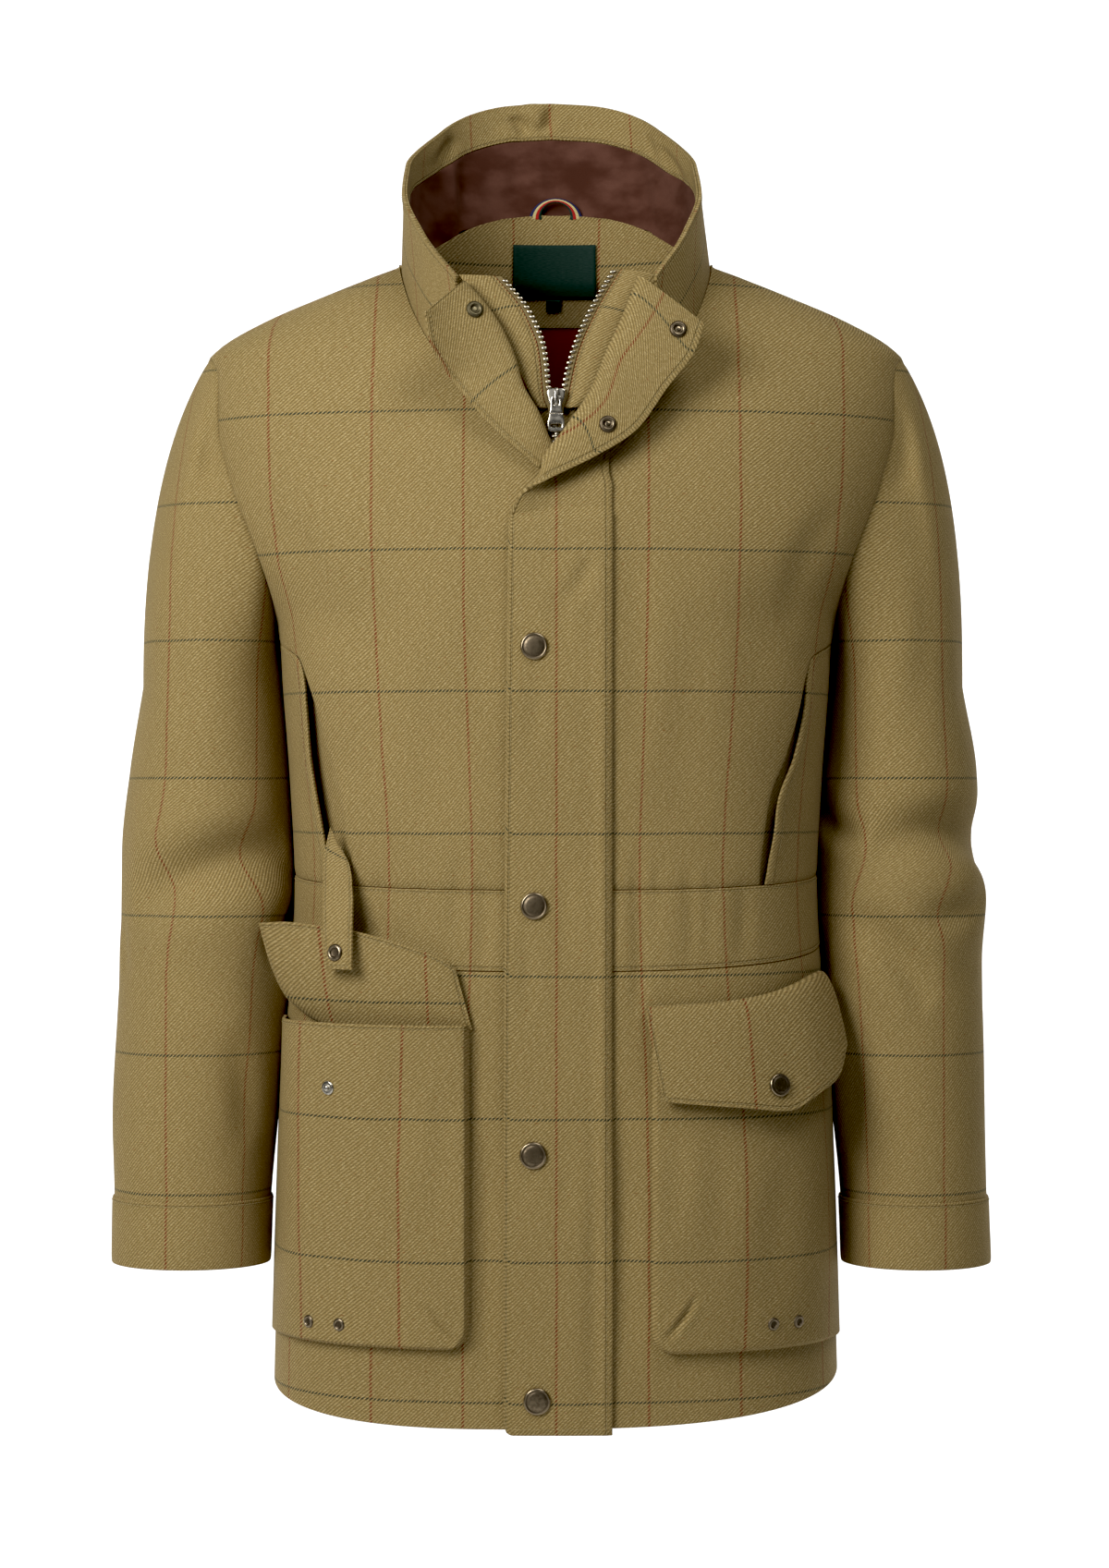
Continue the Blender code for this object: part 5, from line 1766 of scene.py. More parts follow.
@dataclass
class StandCollar:
    """Stand collar with its tweed band and suede lining, and what shows inside the back neck.

    Attributes:
        form: The body's form.
        sewing: Where stitches are collected.
    """

    form: BodyForm
    sewing: Sewing
    lean: float = -3.5 * MM
    rise: float = -3.0 * MM
    band_share: float = 0.3
    around: int = 150
    press: float = 0.6
    press_chart: Pair = (205.0, 86.0)
    rim_stitch: float = 4 * MM
    band_stitch: float = 1.6 * MM
    line_height: float = 30 * MM
    facing_line: Pair = (29.5 * MM, 9 * MM)
    facing: Triple = (42.5 * MM, -29 * MM, 100 * MM)
    lining: Triple = (-27 * MM, -165 * MM, 105 * MM)
    label: Quad = (-31 * MM, 29 * MM, -9.5 * MM, 25 * MM)
    tab: Quad = (-7 * MM, 3.5 * MM, -18 * MM, -10 * MM)
    over: float = 3 * MM
    foot_rise: float = 0.13
    loop_half: float = 14.2 * MM
    loop_rise: float = 12.5 * MM
    ribbon: Triple = (4.6 * MM, 1.6 * MM, 0.6 * MM)

    def place(self, along: Array, up: Array, inward: Array) -> Array:
        """Places on the collar: straight lines from the neckline to the rim, moved in.

        Args:
            along: Round the neck, from -1 at the right front end to 1 at the left.
            up: From 0 at the base to 1 at the rim.
            inward: How far inside the outer face, for each value of up.

        Returns:
            Grid of places, with one row for each value of up.
        """
        base = self.form.collar_base(np.abs(along))
        rim = smooth(self.form.collar_knots(), self.form.collar[:, 2:], np.abs(along))
        base[:, 0] *= np.sign(along)
        rim[:, 0] = rim[:, 0] * np.sign(along) + self.lean * (1 - np.abs(along) ** 4)
        points = base[None] + (rim - base)[None] * up[:, None, None]
        points[..., 2] += self.rise * (1 - up[:, None])
        tangent = np.gradient(points, along, axis=1)
        flat = unit(np.stack([tangent[..., 1], -tangent[..., 0], np.zeros_like(tangent[..., 0])], axis=-1))
        flat *= np.sign((flat * points)[..., :2].sum(axis=-1))[..., None]
        return points - flat * np.broadcast_to(inward, up.shape)[:, None, None]

    def chart(self, points: Array) -> Array:
        """Flat cloth: length round the collar from its middle by length up it."""
        across = run_length(points, 1)
        return np.stack([across - across[:, -1:] / 2, run_length(points, 0) - self.line_height], axis=-1)

    def pressed(self, points: Array, along: Array, up: Array) -> Array:
        """Dents near the rim, charted in millimetres from the middle of the back.

        Args:
            points: Grid whose normals point to the neck.
            along: Round the neck.
            up: From base to rim.

        Returns:
            The moved grid.
        """
        u, v = np.meshgrid(along * self.press_chart[0], up * self.press_chart[1])
        sink = sum(row.sink(u, v) for row in COLLAR_CREASES)
        return points + grid_normals(points) * (sink * self.press * MM)[..., None]

    def collar(self) -> None:
        """The outside, then the band inside the rim and the suede below it."""
        along = np.linspace(-1, 1, self.around)
        up = edged(34, 84 * MM)
        points = self.place(along, up, np.zeros_like(up))
        chart = self.chart(points)
        points = self.pressed(points, along, up)
        Cloth("collar_outer", points, chart, (0.5, 0.082), 0.9, flip=True, held=Held.STRETCHED,
              sewn=sewn_at(points, (Edge.HEAD, self.rim_stitch))).build()
        self.sewing.edge(points, Edge.HEAD, self.rim_stitch, True)
        split = 1 - self.band_share
        up = split + self.band_share * edged(20, 25 * MM)
        inside = WALL + LAYER_GAP + THIN_WALL
        points = self.place(along, up, inside - LAYER_GAP * smooth_step((up - 0.9) / 0.1) + 0.05 * MM)
        chart = self.chart(points)
        points = self.pressed(points, along, up)
        points = tucked(points, [edge_runs(points)["head"]], True, 0.3 * MM)
        Cloth("collar_band", points, chart, (0.5, 0.024), 0.9, wall=THIN_WALL, held=Held.STRETCHED,
              rests_on=("collar_outer",), sewn=sewn_at(points, (Edge.FOOT, self.band_stitch))).build()
        self.sewing.edge(points, Edge.FOOT, self.band_stitch, False)
        up = np.linspace(0.0, split - 0.006, 26)
        points = self.place(along, up, np.full_like(up, inside))
        far = np.abs(along)
        foot = self.foot_rise * np.clip(far / 0.33, 0, 1) ** 2 * (1 - smooth_step((far - 0.34) / 0.05))
        points = points + (points[-1:] - points) * foot[:, None]
        points = self.pressed(points, along, up)[:, 3:-3]
        Cloth("collar_lining", points, self.chart(points), (0.5, 0.055), 0.9, wall=THIN_WALL, finish=SUEDE,
              slot="suede", held=Held.STRETCHED, rests_on=("collar_outer",)).build()

    def inside_back(
        self, name: str, box: Triple, cut: Pair, share: float,
        finish: object, slot: str,
    ) -> None:
        """Cloth that lies inside the back panel, held clear of the neck's edge.

        Args:
            name: The node.
            box: Top, foot and half width.
            cut: Width and length it was cut to.
            share: Share of the cut's rectangle that it fills.
            finish: Its finish.
            slot: The record's slot.
        """
        form, (top, foot, half) = self.form, box
        heights = np.linspace(foot, top, 26)
        neck = np.where(heights > 0, form.neck_at(heights, False, 0), half)
        starts = form.angle_at_x(np.minimum(half, neck + 2 * MM), heights)
        angles = form.spread(heights, starts - math.pi, -starts, np.linspace(0, 1, 44))
        z = np.broadcast_to(heights[:, None], angles.shape)
        points = form.torso(angles, z) - form.normal(angles, z) * (WALL + INNER_GAP + THIN_WALL)
        points[..., 2] += self.over * smooth_step((z - foot) / (top - foot))
        line_x, line_z = self.facing_line
        chart = np.stack([points[..., 0] + line_x, z - line_z], axis=-1)
        Cloth(name, points, chart, cut, share, wall=THIN_WALL, finish=finish, slot=slot,
              held=Held.LAID).build()

    def tag(self, name: str, box: Quad, cut: Pair) -> None:
        """Plain satin label on the neck facing.

        Args:
            name: The node.
            box: Left, right, foot and top.
            cut: Width and length it was cut to.
        """
        form, (left, right, foot, top) = self.form, box
        x, z = np.meshgrid(np.linspace(left, right, 24), np.linspace(foot, top, 16))
        angle = np.where(x < 0, form.angle_at_x(x, z) - math.pi, -form.angle_at_x(x, z))
        depth = WALL + 2 * INNER_GAP + 1.5 * THIN_WALL
        points = form.torso(angle, z) - form.normal(angle, z) * depth
        Cloth(name, points, np.stack([x, z], axis=-1), cut, wall=THIN_WALL / 2, finish=LABEL_SATIN,
              slot="green_label", held=Held.LAID, rests_on=("neck_facing",), rounding=0.0).build()

    def loop(self) -> None:
        """Hanger loop: a flat ribbon along half an oval, striped across its width."""
        steps, sides = 40, 16
        turn = np.linspace(0, math.pi, steps)
        wall_y = self.form.collar_base(np.zeros(1))[0, 1]
        y = wall_y - WALL - 2 * LAYER_GAP - THIN_WALL - 0.6 * MM
        rise = self.loop_rise * np.sin(turn)
        base = self.form.collar[0, 1]
        middle = np.stack([self.loop_half * np.cos(turn), y - 0.3 * rise, base + rise], axis=-1)
        way = unit(np.gradient(middle, axis=0))
        face = np.array([0.0, -1.0, 0.0])
        beside = unit(np.cross(way, face))
        ring = np.linspace(0, math.tau, sides, endpoint=False)
        foot, top, thick = self.ribbon
        wide = foot + (top - foot) * np.sin(turn)[:, None, None]
        flat = beside[:, None] * wide * np.cos(ring)[:, None]
        points = middle[:, None] + flat + face * thick * np.sin(ring)[:, None]
        made = put_mesh("hanger_loop_cord", points, grid_faces(steps, sides, True, False), [CORD.material()])
        stripe = 0.5 + 0.5 * np.cos(np.linspace(0, math.tau, sides + 1))
        chart = np.stack(np.broadcast_arrays(run_length(middle, 0)[:, None], stripe), axis=-1)
        write_chart(made.data, chart.reshape(-1, 2)[grid_faces(steps, sides + 1, False, False)])
        attach(made, "hanger_loop")

    def build(self) -> None:
        """The collar and everything inside the back neck."""
        self.collar()
        self.inside_back("neck_facing", self.facing, (0.22, 0.075), 0.9, TWEED, "tweed")
        self.inside_back("body_lining", self.lining, (0.198, 0.144), 1.0, LINING, "rust_lining")
        self.tag("neck_label", self.label, (0.059, 0.038))
        self.tag("size_tab", self.tab, (0.0102, 0.01))
        self.loop()


FLAP_CREASES: list[Crease] = creases(
    (24, -204, 5, -234, 2, 6, 1.7), (-2, -226, 12, -262, -2, 7, 1.0),
    (29, -190, 29, -780, 1, 4.5, -1.1), (-14, -276, -16, -330, 2, 8, 0.9),
    (6, -400, 10, -470, -2, 9, 1.1), (-20, -440, -18, -500, 1, 7, 0.9),
    (4, -560, 8, -640, 2, 10, 1.0), (25, -560, 24, -770, 2, 8, 1.6),
)


@dataclass
class FrontClosure:
    """Storm flap and underlap with their turned-back tops, and the open zip between them.

    Attributes:
        form: The body's form.
        sewing: Where stitches are collected.
        lapel_left: Rows of seam, fold and edge, from the breast to the collar.
        turn_left: How far each of those rows is turned back.
        zip_left: Rows of the teeth's line and of the strip's far edge, from the slider to the collar.
    """

    form: BodyForm
    sewing: Sewing
    lapel_left: Array = tabled([
        [36, -134.8, -174, 2, -135.6, -174, -30, -135.4, -179],
        [36, -132.6, -160, -4, -134.8, -159, -24, -138, -168],
        [34, -130, -148, -7, -135, -146, -6, -142, -157],
        [36, -124, -130, 9, -131, -122, 26, -138, -141],
        [42, -118, -110, 24, -127, -99, 51, -133, -124.5],
        [52, -113, -85, 35, -123, -72, 71, -128, -97],
        [58, -112, -66, 42.5, -120, -56, 89, -124, -73],
        [66, -111.5, -33, 54.8, -116, -24, 95, -119, -55],
    ])
    turn_left: Array = field(default_factory=lambda: np.array([0, 0.35, 0.9, 1, 1, 1, 1, 1]))
    lapel_right: Array = tabled([
        [-8, -127.4, -143, -2, -128, -137, -11, -128.8, -148],
        [-12, -126.2, -135, -6, -128.2, -128, -22, -128.6, -138],
        [-20, -123, -118, -12, -127.5, -113, -34, -126, -127.5],
        [-32, -118.5, -101, -22, -124.5, -95, -51, -124, -110],
        [-39, -116, -81, -28, -122, -75, -65, -121, -93],
        [-48, -113.5, -62, -38, -119, -54, -75, -126, -80],
        [-56, -112, -48, -48, -117, -40, -81, -132, -67.6],
        [-66, -110.5, -34, -59.5, -114, -27, -84.1, -137, -49.2],
    ])
    turn_right: Array = field(default_factory=lambda: np.array([0.3, 0.7, 1, 1, 1, 1, 1, 1]))
    zip_left: Array = tabled([
        [0.4, -124.6, -137, 6, -124.6, -137],
        [0.6, -117.6, -112, 12, -118, -112],
        [3.6, -116, -101, 21, -119, -101],
        [8, -114.5, -80, 29, -116, -80],
        [12.8, -113, -65, 36, -113.5, -65],
        [24.7, -109.5, -39.4, 50, -109.5, -40],
        [37.8, -106, -17, 62.6, -106.8, -20],
    ])
    zip_right: Array = tabled([
        [-0.4, -124.6, -137, -6, -124.6, -137],
        [-0.6, -117.6, -112, -10, -117.6, -112],
        [-3.6, -116, -101, -16, -117.5, -101],
        [-5.7, -114.5, -79.3, -26, -115, -79.3],
        [-7.4, -113, -68, -33, -113, -68],
        [-17, -109.5, -44.8, -47, -109.5, -44.8],
        [-35, -106, -22, -62.6, -106.8, -21],
    ])
    roll: float = 8 * MM
    seam_x: float = 36 * MM
    edge_x: float = -33 * MM
    corner: float = 6 * MM
    lift: float = 4.8 * MM
    wall: float = 2.6 * MM
    underlap_wall: float = 1.6 * MM
    low_rows: int = 120
    edge_stitch: float = 3.4 * MM
    seam_stitch: float = 4 * MM
    strip_stitch: float = 2.2 * MM
    hem_over: float = 3 * MM
    tape_width: float = 4 * MM
    strip_from: float = 3 / 14
    tooth_pitch: float = 3.7 * MM
    slider_size: Triple = (14 * MM, 4.2 * MM, 12 * MM)
    bridge_half: float = 5.6 * MM
    slider_centre: Triple = (0.2 * MM, -119.8 * MM, -102 * MM)
    bridge_room: float = 2.6 * MM
    bridge_bar: float = 1.1 * MM
    bridge_wide: float = 2.4 * MM

    def turned(self, rows: Array, turn: Array, count: int) -> Array:
        """Cross-sections of a turned-back edge: curves of degree two from seam to fold and fold to edge.

        Args:
            rows: Seam, fold and edge of each row.
            turn: How far each row is turned back.
            count: Rows of points.

        Returns:
            Grid of places from the seam to the free edge.
        """
        knots, at = np.linspace(0, 1, len(rows)), np.linspace(0, 1, count)
        seam, fold, edge = np.split(smooth(knots, rows, at), 3, axis=1)
        turn = smooth(knots, turn, at)
        roll = np.array([0.0, -1.0, 0.0]) * self.roll
        near = fold - roll / 2 * turn + (seam - fold) / 2 * (1 - turn)
        far = fold + roll * turn + (edge - fold) / 2 * (1 - turn)
        seam, near, fold, far, edge = (part[:, None] for part in (seam, near, fold, far, edge))
        t = np.linspace(0, 1, 21)[:-1, None]
        before = seam * (1 - t) ** 2 + near * 2 * t * (1 - t) + fold * t * t
        t = np.linspace(0, 1, 26)[:, None]
        after = fold * (1 - t) ** 2 + far * 2 * t * (1 - t) + edge * t * t
        return np.concatenate([before, after], axis=1)

    def storm_flap(self) -> tuple[Array, Array]:
        """Flap over the zip from the hem to the breast, where its top turns back as a lapel.

        Returns:
            Its face below the breast and the lapel's face.
        """
        form = self.form
        top = self.turned(self.lapel_left, self.turn_left, 70)
        foot = float(form.hem(np.array([math.pi / 2]))[0]) - self.hem_over
        share = np.linspace(0, 1, self.low_rows + 1)[:-1, None]
        across = np.linspace(self.seam_x, self.edge_x, top.shape[1])[None, :]
        x = across + (top[0, :, 0] - across) * share**3
        above = np.clip(self.corner - (across - self.edge_x), 0, self.corner)
        rounded = foot + self.corner - np.sqrt(self.corner**2 - above**2)
        z = rounded + (top[0, :, 2] - rounded) * share
        low = form.front(x, z, np.full_like(x, self.lift))
        points = np.concatenate([low, top])
        chart = np.stack([self.seam_x - run_length(points, 1),
                          run_length(points, 0) + foot - form.line_height], axis=-1)
        outward = points[:, ::-1]
        points = creased(outward, outward[..., 0] / MM, outward[..., 2] / MM, FLAP_CREASES)[:, ::-1]
        points = tucked(points, [edge_runs(points)["start"]], True, 1.4 * MM)
        face = points + grid_normals(points) * self.wall
        sewn = sewn_at(points, (Edge.END, self.edge_stitch), (Edge.START, self.seam_stitch))
        Cloth("storm_flap", points, chart, (0.072, 0.745), 0.96, wall=self.wall, flip=True, held=Held.FOLDED,
              rests_on=("front_left", "front_right"), rounding=1.1 * MM, sewn=sewn).build()
        split = self.low_rows
        self.sewing.edge(points[:split], Edge.END, self.edge_stitch, True)
        self.sewing.edge(points[:split], Edge.START, self.seam_stitch, True)
        self.sewing.edge(points, Edge.FOOT, self.seam_stitch, True)
        self.sewing.edge(face[split + 10:], Edge.END, self.edge_stitch, False)
        return points[:split], face[split:]

    def underlap(self) -> Array:
        """The other front's edge, turned back as the second lapel.

        Returns:
            Its face.
        """
        points = self.turned(self.lapel_right, self.turn_right, 60)
        chart = np.stack([-run_length(points, 1), run_length(points, 0) + 30 * MM], axis=-1)
        face = points - grid_normals(points) * self.underlap_wall
        # The line 1.2 mm in from the head edge has no stitches: the darkened groove there is a painted shadow
        # line against the collar.
        sewn = sewn_at(points, (Edge.END, self.edge_stitch), (Edge.HEAD, 1.2 * MM))
        Cloth("underlap", points, chart, (0.05, 0.127), 0.98, wall=self.underlap_wall, held=Held.FOLDED,
              rests_on=("front_right",), sewn=sewn).build()
        self.sewing.edge(face[4:], Edge.END, self.edge_stitch, True)
        return face

    def zip_side(self, side: Side) -> None:
        """Tape along the teeth, the tweed strip beside it and the teeth.

        Args:
            side: Which front.
        """
        rows = self.zip_left if side is Side.LEFT else self.zip_right
        at = np.linspace(0, 1, 70)
        teeth, outer = np.split(smooth(np.linspace(0, 1, len(rows)), rows, at), 2, axis=1)
        way = unit(outer - teeth)
        seam = teeth + way * self.tape_width
        share = np.linspace(0, 1, 8)[:, None]
        tape = teeth[:, None] + (seam - teeth)[:, None] * share
        flip = side is Side.RIGHT
        chart = np.stack([run_length(tape, 1), run_length(tape, 0)], axis=-1)
        Cloth("zip_tape_" + side.word, tape, chart, (0.012, 0.128), 0.31, wall=THIN_WALL, flip=flip,
              finish=TAPE, slot="zip_tape", held=Held.STRETCHED, rests_on=("front_" + side.word,)).build()
        start = (seam + way * SEAM)[:, None]
        share = edged(22, 24 * MM)[:, None]
        bulge = np.array([0.0, -1.5 * MM, 0.0]) * np.sin(math.pi * share)
        strip = (start + (outer[:, None] - start) * share + bulge)[at >= self.strip_from]
        chart = np.stack([side.value * run_length(strip, 1), run_length(strip, 0) + 20 * MM], axis=-1)
        Cloth("zip_strip_" + side.word, strip, chart, (0.024, 0.1), 0.71, flip=flip, held=Held.STRETCHED,
              rests_on=("front_" + side.word,), sewn=sewn_at(strip, (Edge.START, self.strip_stitch))).build()
        self.sewing.edge(strip, Edge.START, self.strip_stitch, flip)
        self.teeth(side, teeth, way)

    def teeth(self, side: Side, path: Array, way: Array) -> None:
        """Zip teeth: rounded blocks, each a ball whose sine and cosine are raised to a low power.

        Args:
            side: Which front.
            path: Places along the tape's edge.
            way: Directions from that edge into the tape.
        """
        run = run_length(path, 0)
        shift = 0.25 if side is Side.LEFT else 0.75
        at = (np.arange(int(run[-1] / self.tooth_pitch)) + shift) * self.tooth_pitch
        middle = sampled(at, run, path)
        into = unit(sampled(at, run, way))
        ahead = unit(sampled(at, run, np.gradient(path, axis=0)))
        front = unit(np.cross(into, ahead)) * side.value
        rows, columns, power = 7, 12, 0.45
        deep, high, thick = 1.9, 1.05, 1.15
        lift = np.linspace(-math.pi / 2, math.pi / 2, rows)[:, None]
        turn = np.linspace(0, math.tau, columns, endpoint=False)[None, :]
        flat = np.abs(np.cos(lift)) ** power
        ball = np.stack(np.broadcast_arrays(
            flat * squared(np.cos(turn), power) * deep * MM + 0.5 * MM,
            flat * squared(np.sin(turn), power) * high * MM,
            squared(np.sin(lift), power) * thick * MM + 0.35 * MM), axis=-1)
        frame = np.stack([into, ahead, front], axis=1)
        points = middle[:, None, None, :] + np.einsum("rck,nkd->nrcd", ball, frame)
        block = grid_faces(rows, columns, True, side is Side.RIGHT)
        faces = (np.arange(len(at)) * rows * columns)[:, None, None] + block
        made = put_mesh("zip_teeth_" + side.word, points, faces.reshape(-1, 4), [TEETH.material()])
        # The front faces of the teeth are marked brighter than their backs, partly as wear and partly as
        # painted highlight.
        mark(made.data, "rub", np.broadcast_to(0.4 + 0.5 * np.sin(lift), (len(at), rows, columns)))
        attach(made)

    def slider(self) -> None:
        """Slider: a plate that narrows downwards, with rounded faces, and an arched bridge in front."""
        wide, deep, tall = self.slider_size
        turn = np.linspace(0, math.tau, 56, endpoint=False)
        z = squared(np.sin(turn), 0.5)
        x = squared(np.cos(turn), 0.5) * (0.8 + 0.2 * z)
        size = np.array([0.02, 0.7, 0.88, 0.96, 1.0, 1.0, 0.96, 0.88, 0.7, 0.02])[:, None]
        front = np.array([-1.0, -1.0, -0.96, -0.84, -0.62, 0.62, 0.84, 0.96, 1.0, 1.0])[:, None]
        across, up = size * x * wide / 2, size * z * tall / 2
        plate = np.stack(np.broadcast_arrays(across, front * deep / 2, up), axis=-1)
        arc = np.linspace(0, math.pi, 30)
        depth = np.sqrt(np.sin(arc)) * (self.bridge_room + self.bridge_bar / 2)
        ahead, up = 0.8 * MM - deep / 2 - depth, 0.3 * MM + self.bridge_half * np.cos(arc)
        middle = np.stack([0 * arc, ahead, up], axis=-1)
        way = unit(np.gradient(middle, axis=0))
        side = np.array([1.0, 0.0, 0.0])
        out = np.cross(way, side)
        ring = np.linspace(0, math.tau, 14, endpoint=False)
        around = squared(np.cos(ring), 0.6) * self.bridge_wide / 2
        rise = squared(np.sin(ring), 0.6) * self.bridge_bar / 2
        bridge = middle[:, None] + side * around[:, None] + out[:, None] * rise[:, None]
        # Each plate face is marked bright in a band near its rim, partly as wear and partly as painted
        # highlight.
        plate_rub_and_highlight = np.broadcast_to(0.9 - np.abs(size - 0.94) * 2, plate.shape[:2]).ravel()
        bridge_rub_and_highlight = np.full(len(arc) * len(ring), 0.7)
        points = np.concatenate([plate.reshape(-1, 3), bridge.reshape(-1, 3)]) + np.array(self.slider_centre)
        bridge_faces = grid_faces(len(arc), len(ring), True, True) + len(plate_rub_and_highlight)
        faces = np.concatenate([grid_faces(len(size), len(turn), True, True), bridge_faces])
        made = put_mesh("zip_slider_metal", points, faces, [ZINC.material()])
        mark(made.data, "rub", np.concatenate([plate_rub_and_highlight, bridge_rub_and_highlight]))
        attach(made, "zip_slider")

    def pull(self) -> None:
        """Bare pull: two flat rings end to end, one round its eye and one round its slot."""
        knots = np.array([-22.4, -22.1, -20.8, -17, -12, -8, -5, -2, 0, 0.6, 0.8]) * MM
        half = np.array([2.6, 4.2, 5.6, 5.6, 4.6, 3.9, 3.6, 3.6, 3.0, 2.2, 1.2]) * MM
        sides, thick = 120, 0.7
        turn = math.pi / 2 - np.linspace(0, math.tau, sides, endpoint=False) - math.tau / (2 * sides)
        oval = np.stack([squared(np.cos(turn), 0.6), squared(np.sin(turn), 0.6)], axis=-1)
        share = np.array([0, 0.03, 0.1, 0.5, 0.9, 0.97, 1, 1, 0.97, 0.9, 0.5, 0.1, 0.03, 0])[:, None, None]
        deep = np.array([-0.5, -0.85, -1, -1, -1, -0.85, -0.5, 0.5, 0.85, 1, 1, 1, 0.85, 0.5])[:, None]
        bar = np.array(self.slider_centre) + np.array([0, -self.slider_size[1] / 2 - self.bridge_room / 2, 0])
        rings = []
        eye, slot = (0.8, -10.5, -3.0, 1.9, 2.2), (-10.5, -22.4, -18.4, 3.6, 1.2)
        for high, low, middle, wide, tall in (eye, slot):
            down = (high + (low - high) * (1 - np.cos(np.linspace(0, math.pi, sides // 2))) / 2) * MM
            right = np.stack([smooth(knots, half, down)[:, 0], down], axis=-1)
            outer = np.concatenate([right, right[::-1] * np.array([-1, 1])])
            hole = (oval * np.array([wide, tall]) + np.array([0, middle])) * MM
            flat = hole + (outer - hole) * share
            ahead = np.broadcast_to(deep * thick * MM, flat.shape[:2])
            rings.append(np.stack([flat[..., 0], ahead, flat[..., 1]], axis=-1))
        points = np.stack(rings) + bar
        count = len(share) * sides
        block = grid_faces(len(share) + 1, sides, True, True) % count
        faces = np.concatenate([block, block + count])
        made = put_mesh("zip_pull_metal", points, faces, [ZINC.material()])
        # The pull is marked brightest at its outer rim and round its slot and eye, partly as wear and partly
        # as painted highlight.
        mark(made.data, "rub", np.broadcast_to(0.55 + 0.9 * np.abs(share[..., 0] - 0.5), points.shape[:3]))
        attach(made, "zip_pull", PULL_BODY)

    def build(self) -> dict[str, Array]:
        """Flap, underlap and zip.

        Returns:
            The faces that carry snaps.
        """
        flap, lapel = self.storm_flap()
        underlap = self.underlap()
        for side in Side:
            self.zip_side(side)
        self.slider()
        self.pull()
        return {"flap": flap, "lapel": lapel, "underlap": underlap}


POCKET_CREASES: dict[Side, list[Crease]] = {
    Side.RIGHT: creases(
        (84, -681, 62, -709, 1, 2.2, 2.4), (100, -520, 96, -600, 3, 12, 1.4),
        (150, -560, 144, -680, -4, 14, 1.6), (70, -540, 74, -640, 2, 9, 1.0),
    ),
    Side.LEFT: creases(
        (90, -677, 70, -705, 1, 2.2, 2.4), (100, -570, 104, -660, 3, 12, 1.2),
        (150, -590, 142, -690, -4, 14, 1.4), (76, -570, 74, -640, 2, 9, 0.9),
    ),
}


@dataclass(frozen=True)
class PocketSize:
    """Sizes of one bellows pocket.

    Attributes:
        inner: x of its edge nearest the middle.
        top: Height of its mouth.
        bottom: Height of its foot.
        gusset: Depth of its pleated sides.
        swell: How far its face swells out.
        open_mouth: True where the mouth hangs open.
    """

    inner: float
    top: float
    bottom: float
    gusset: float
    swell: float
    open_mouth: bool


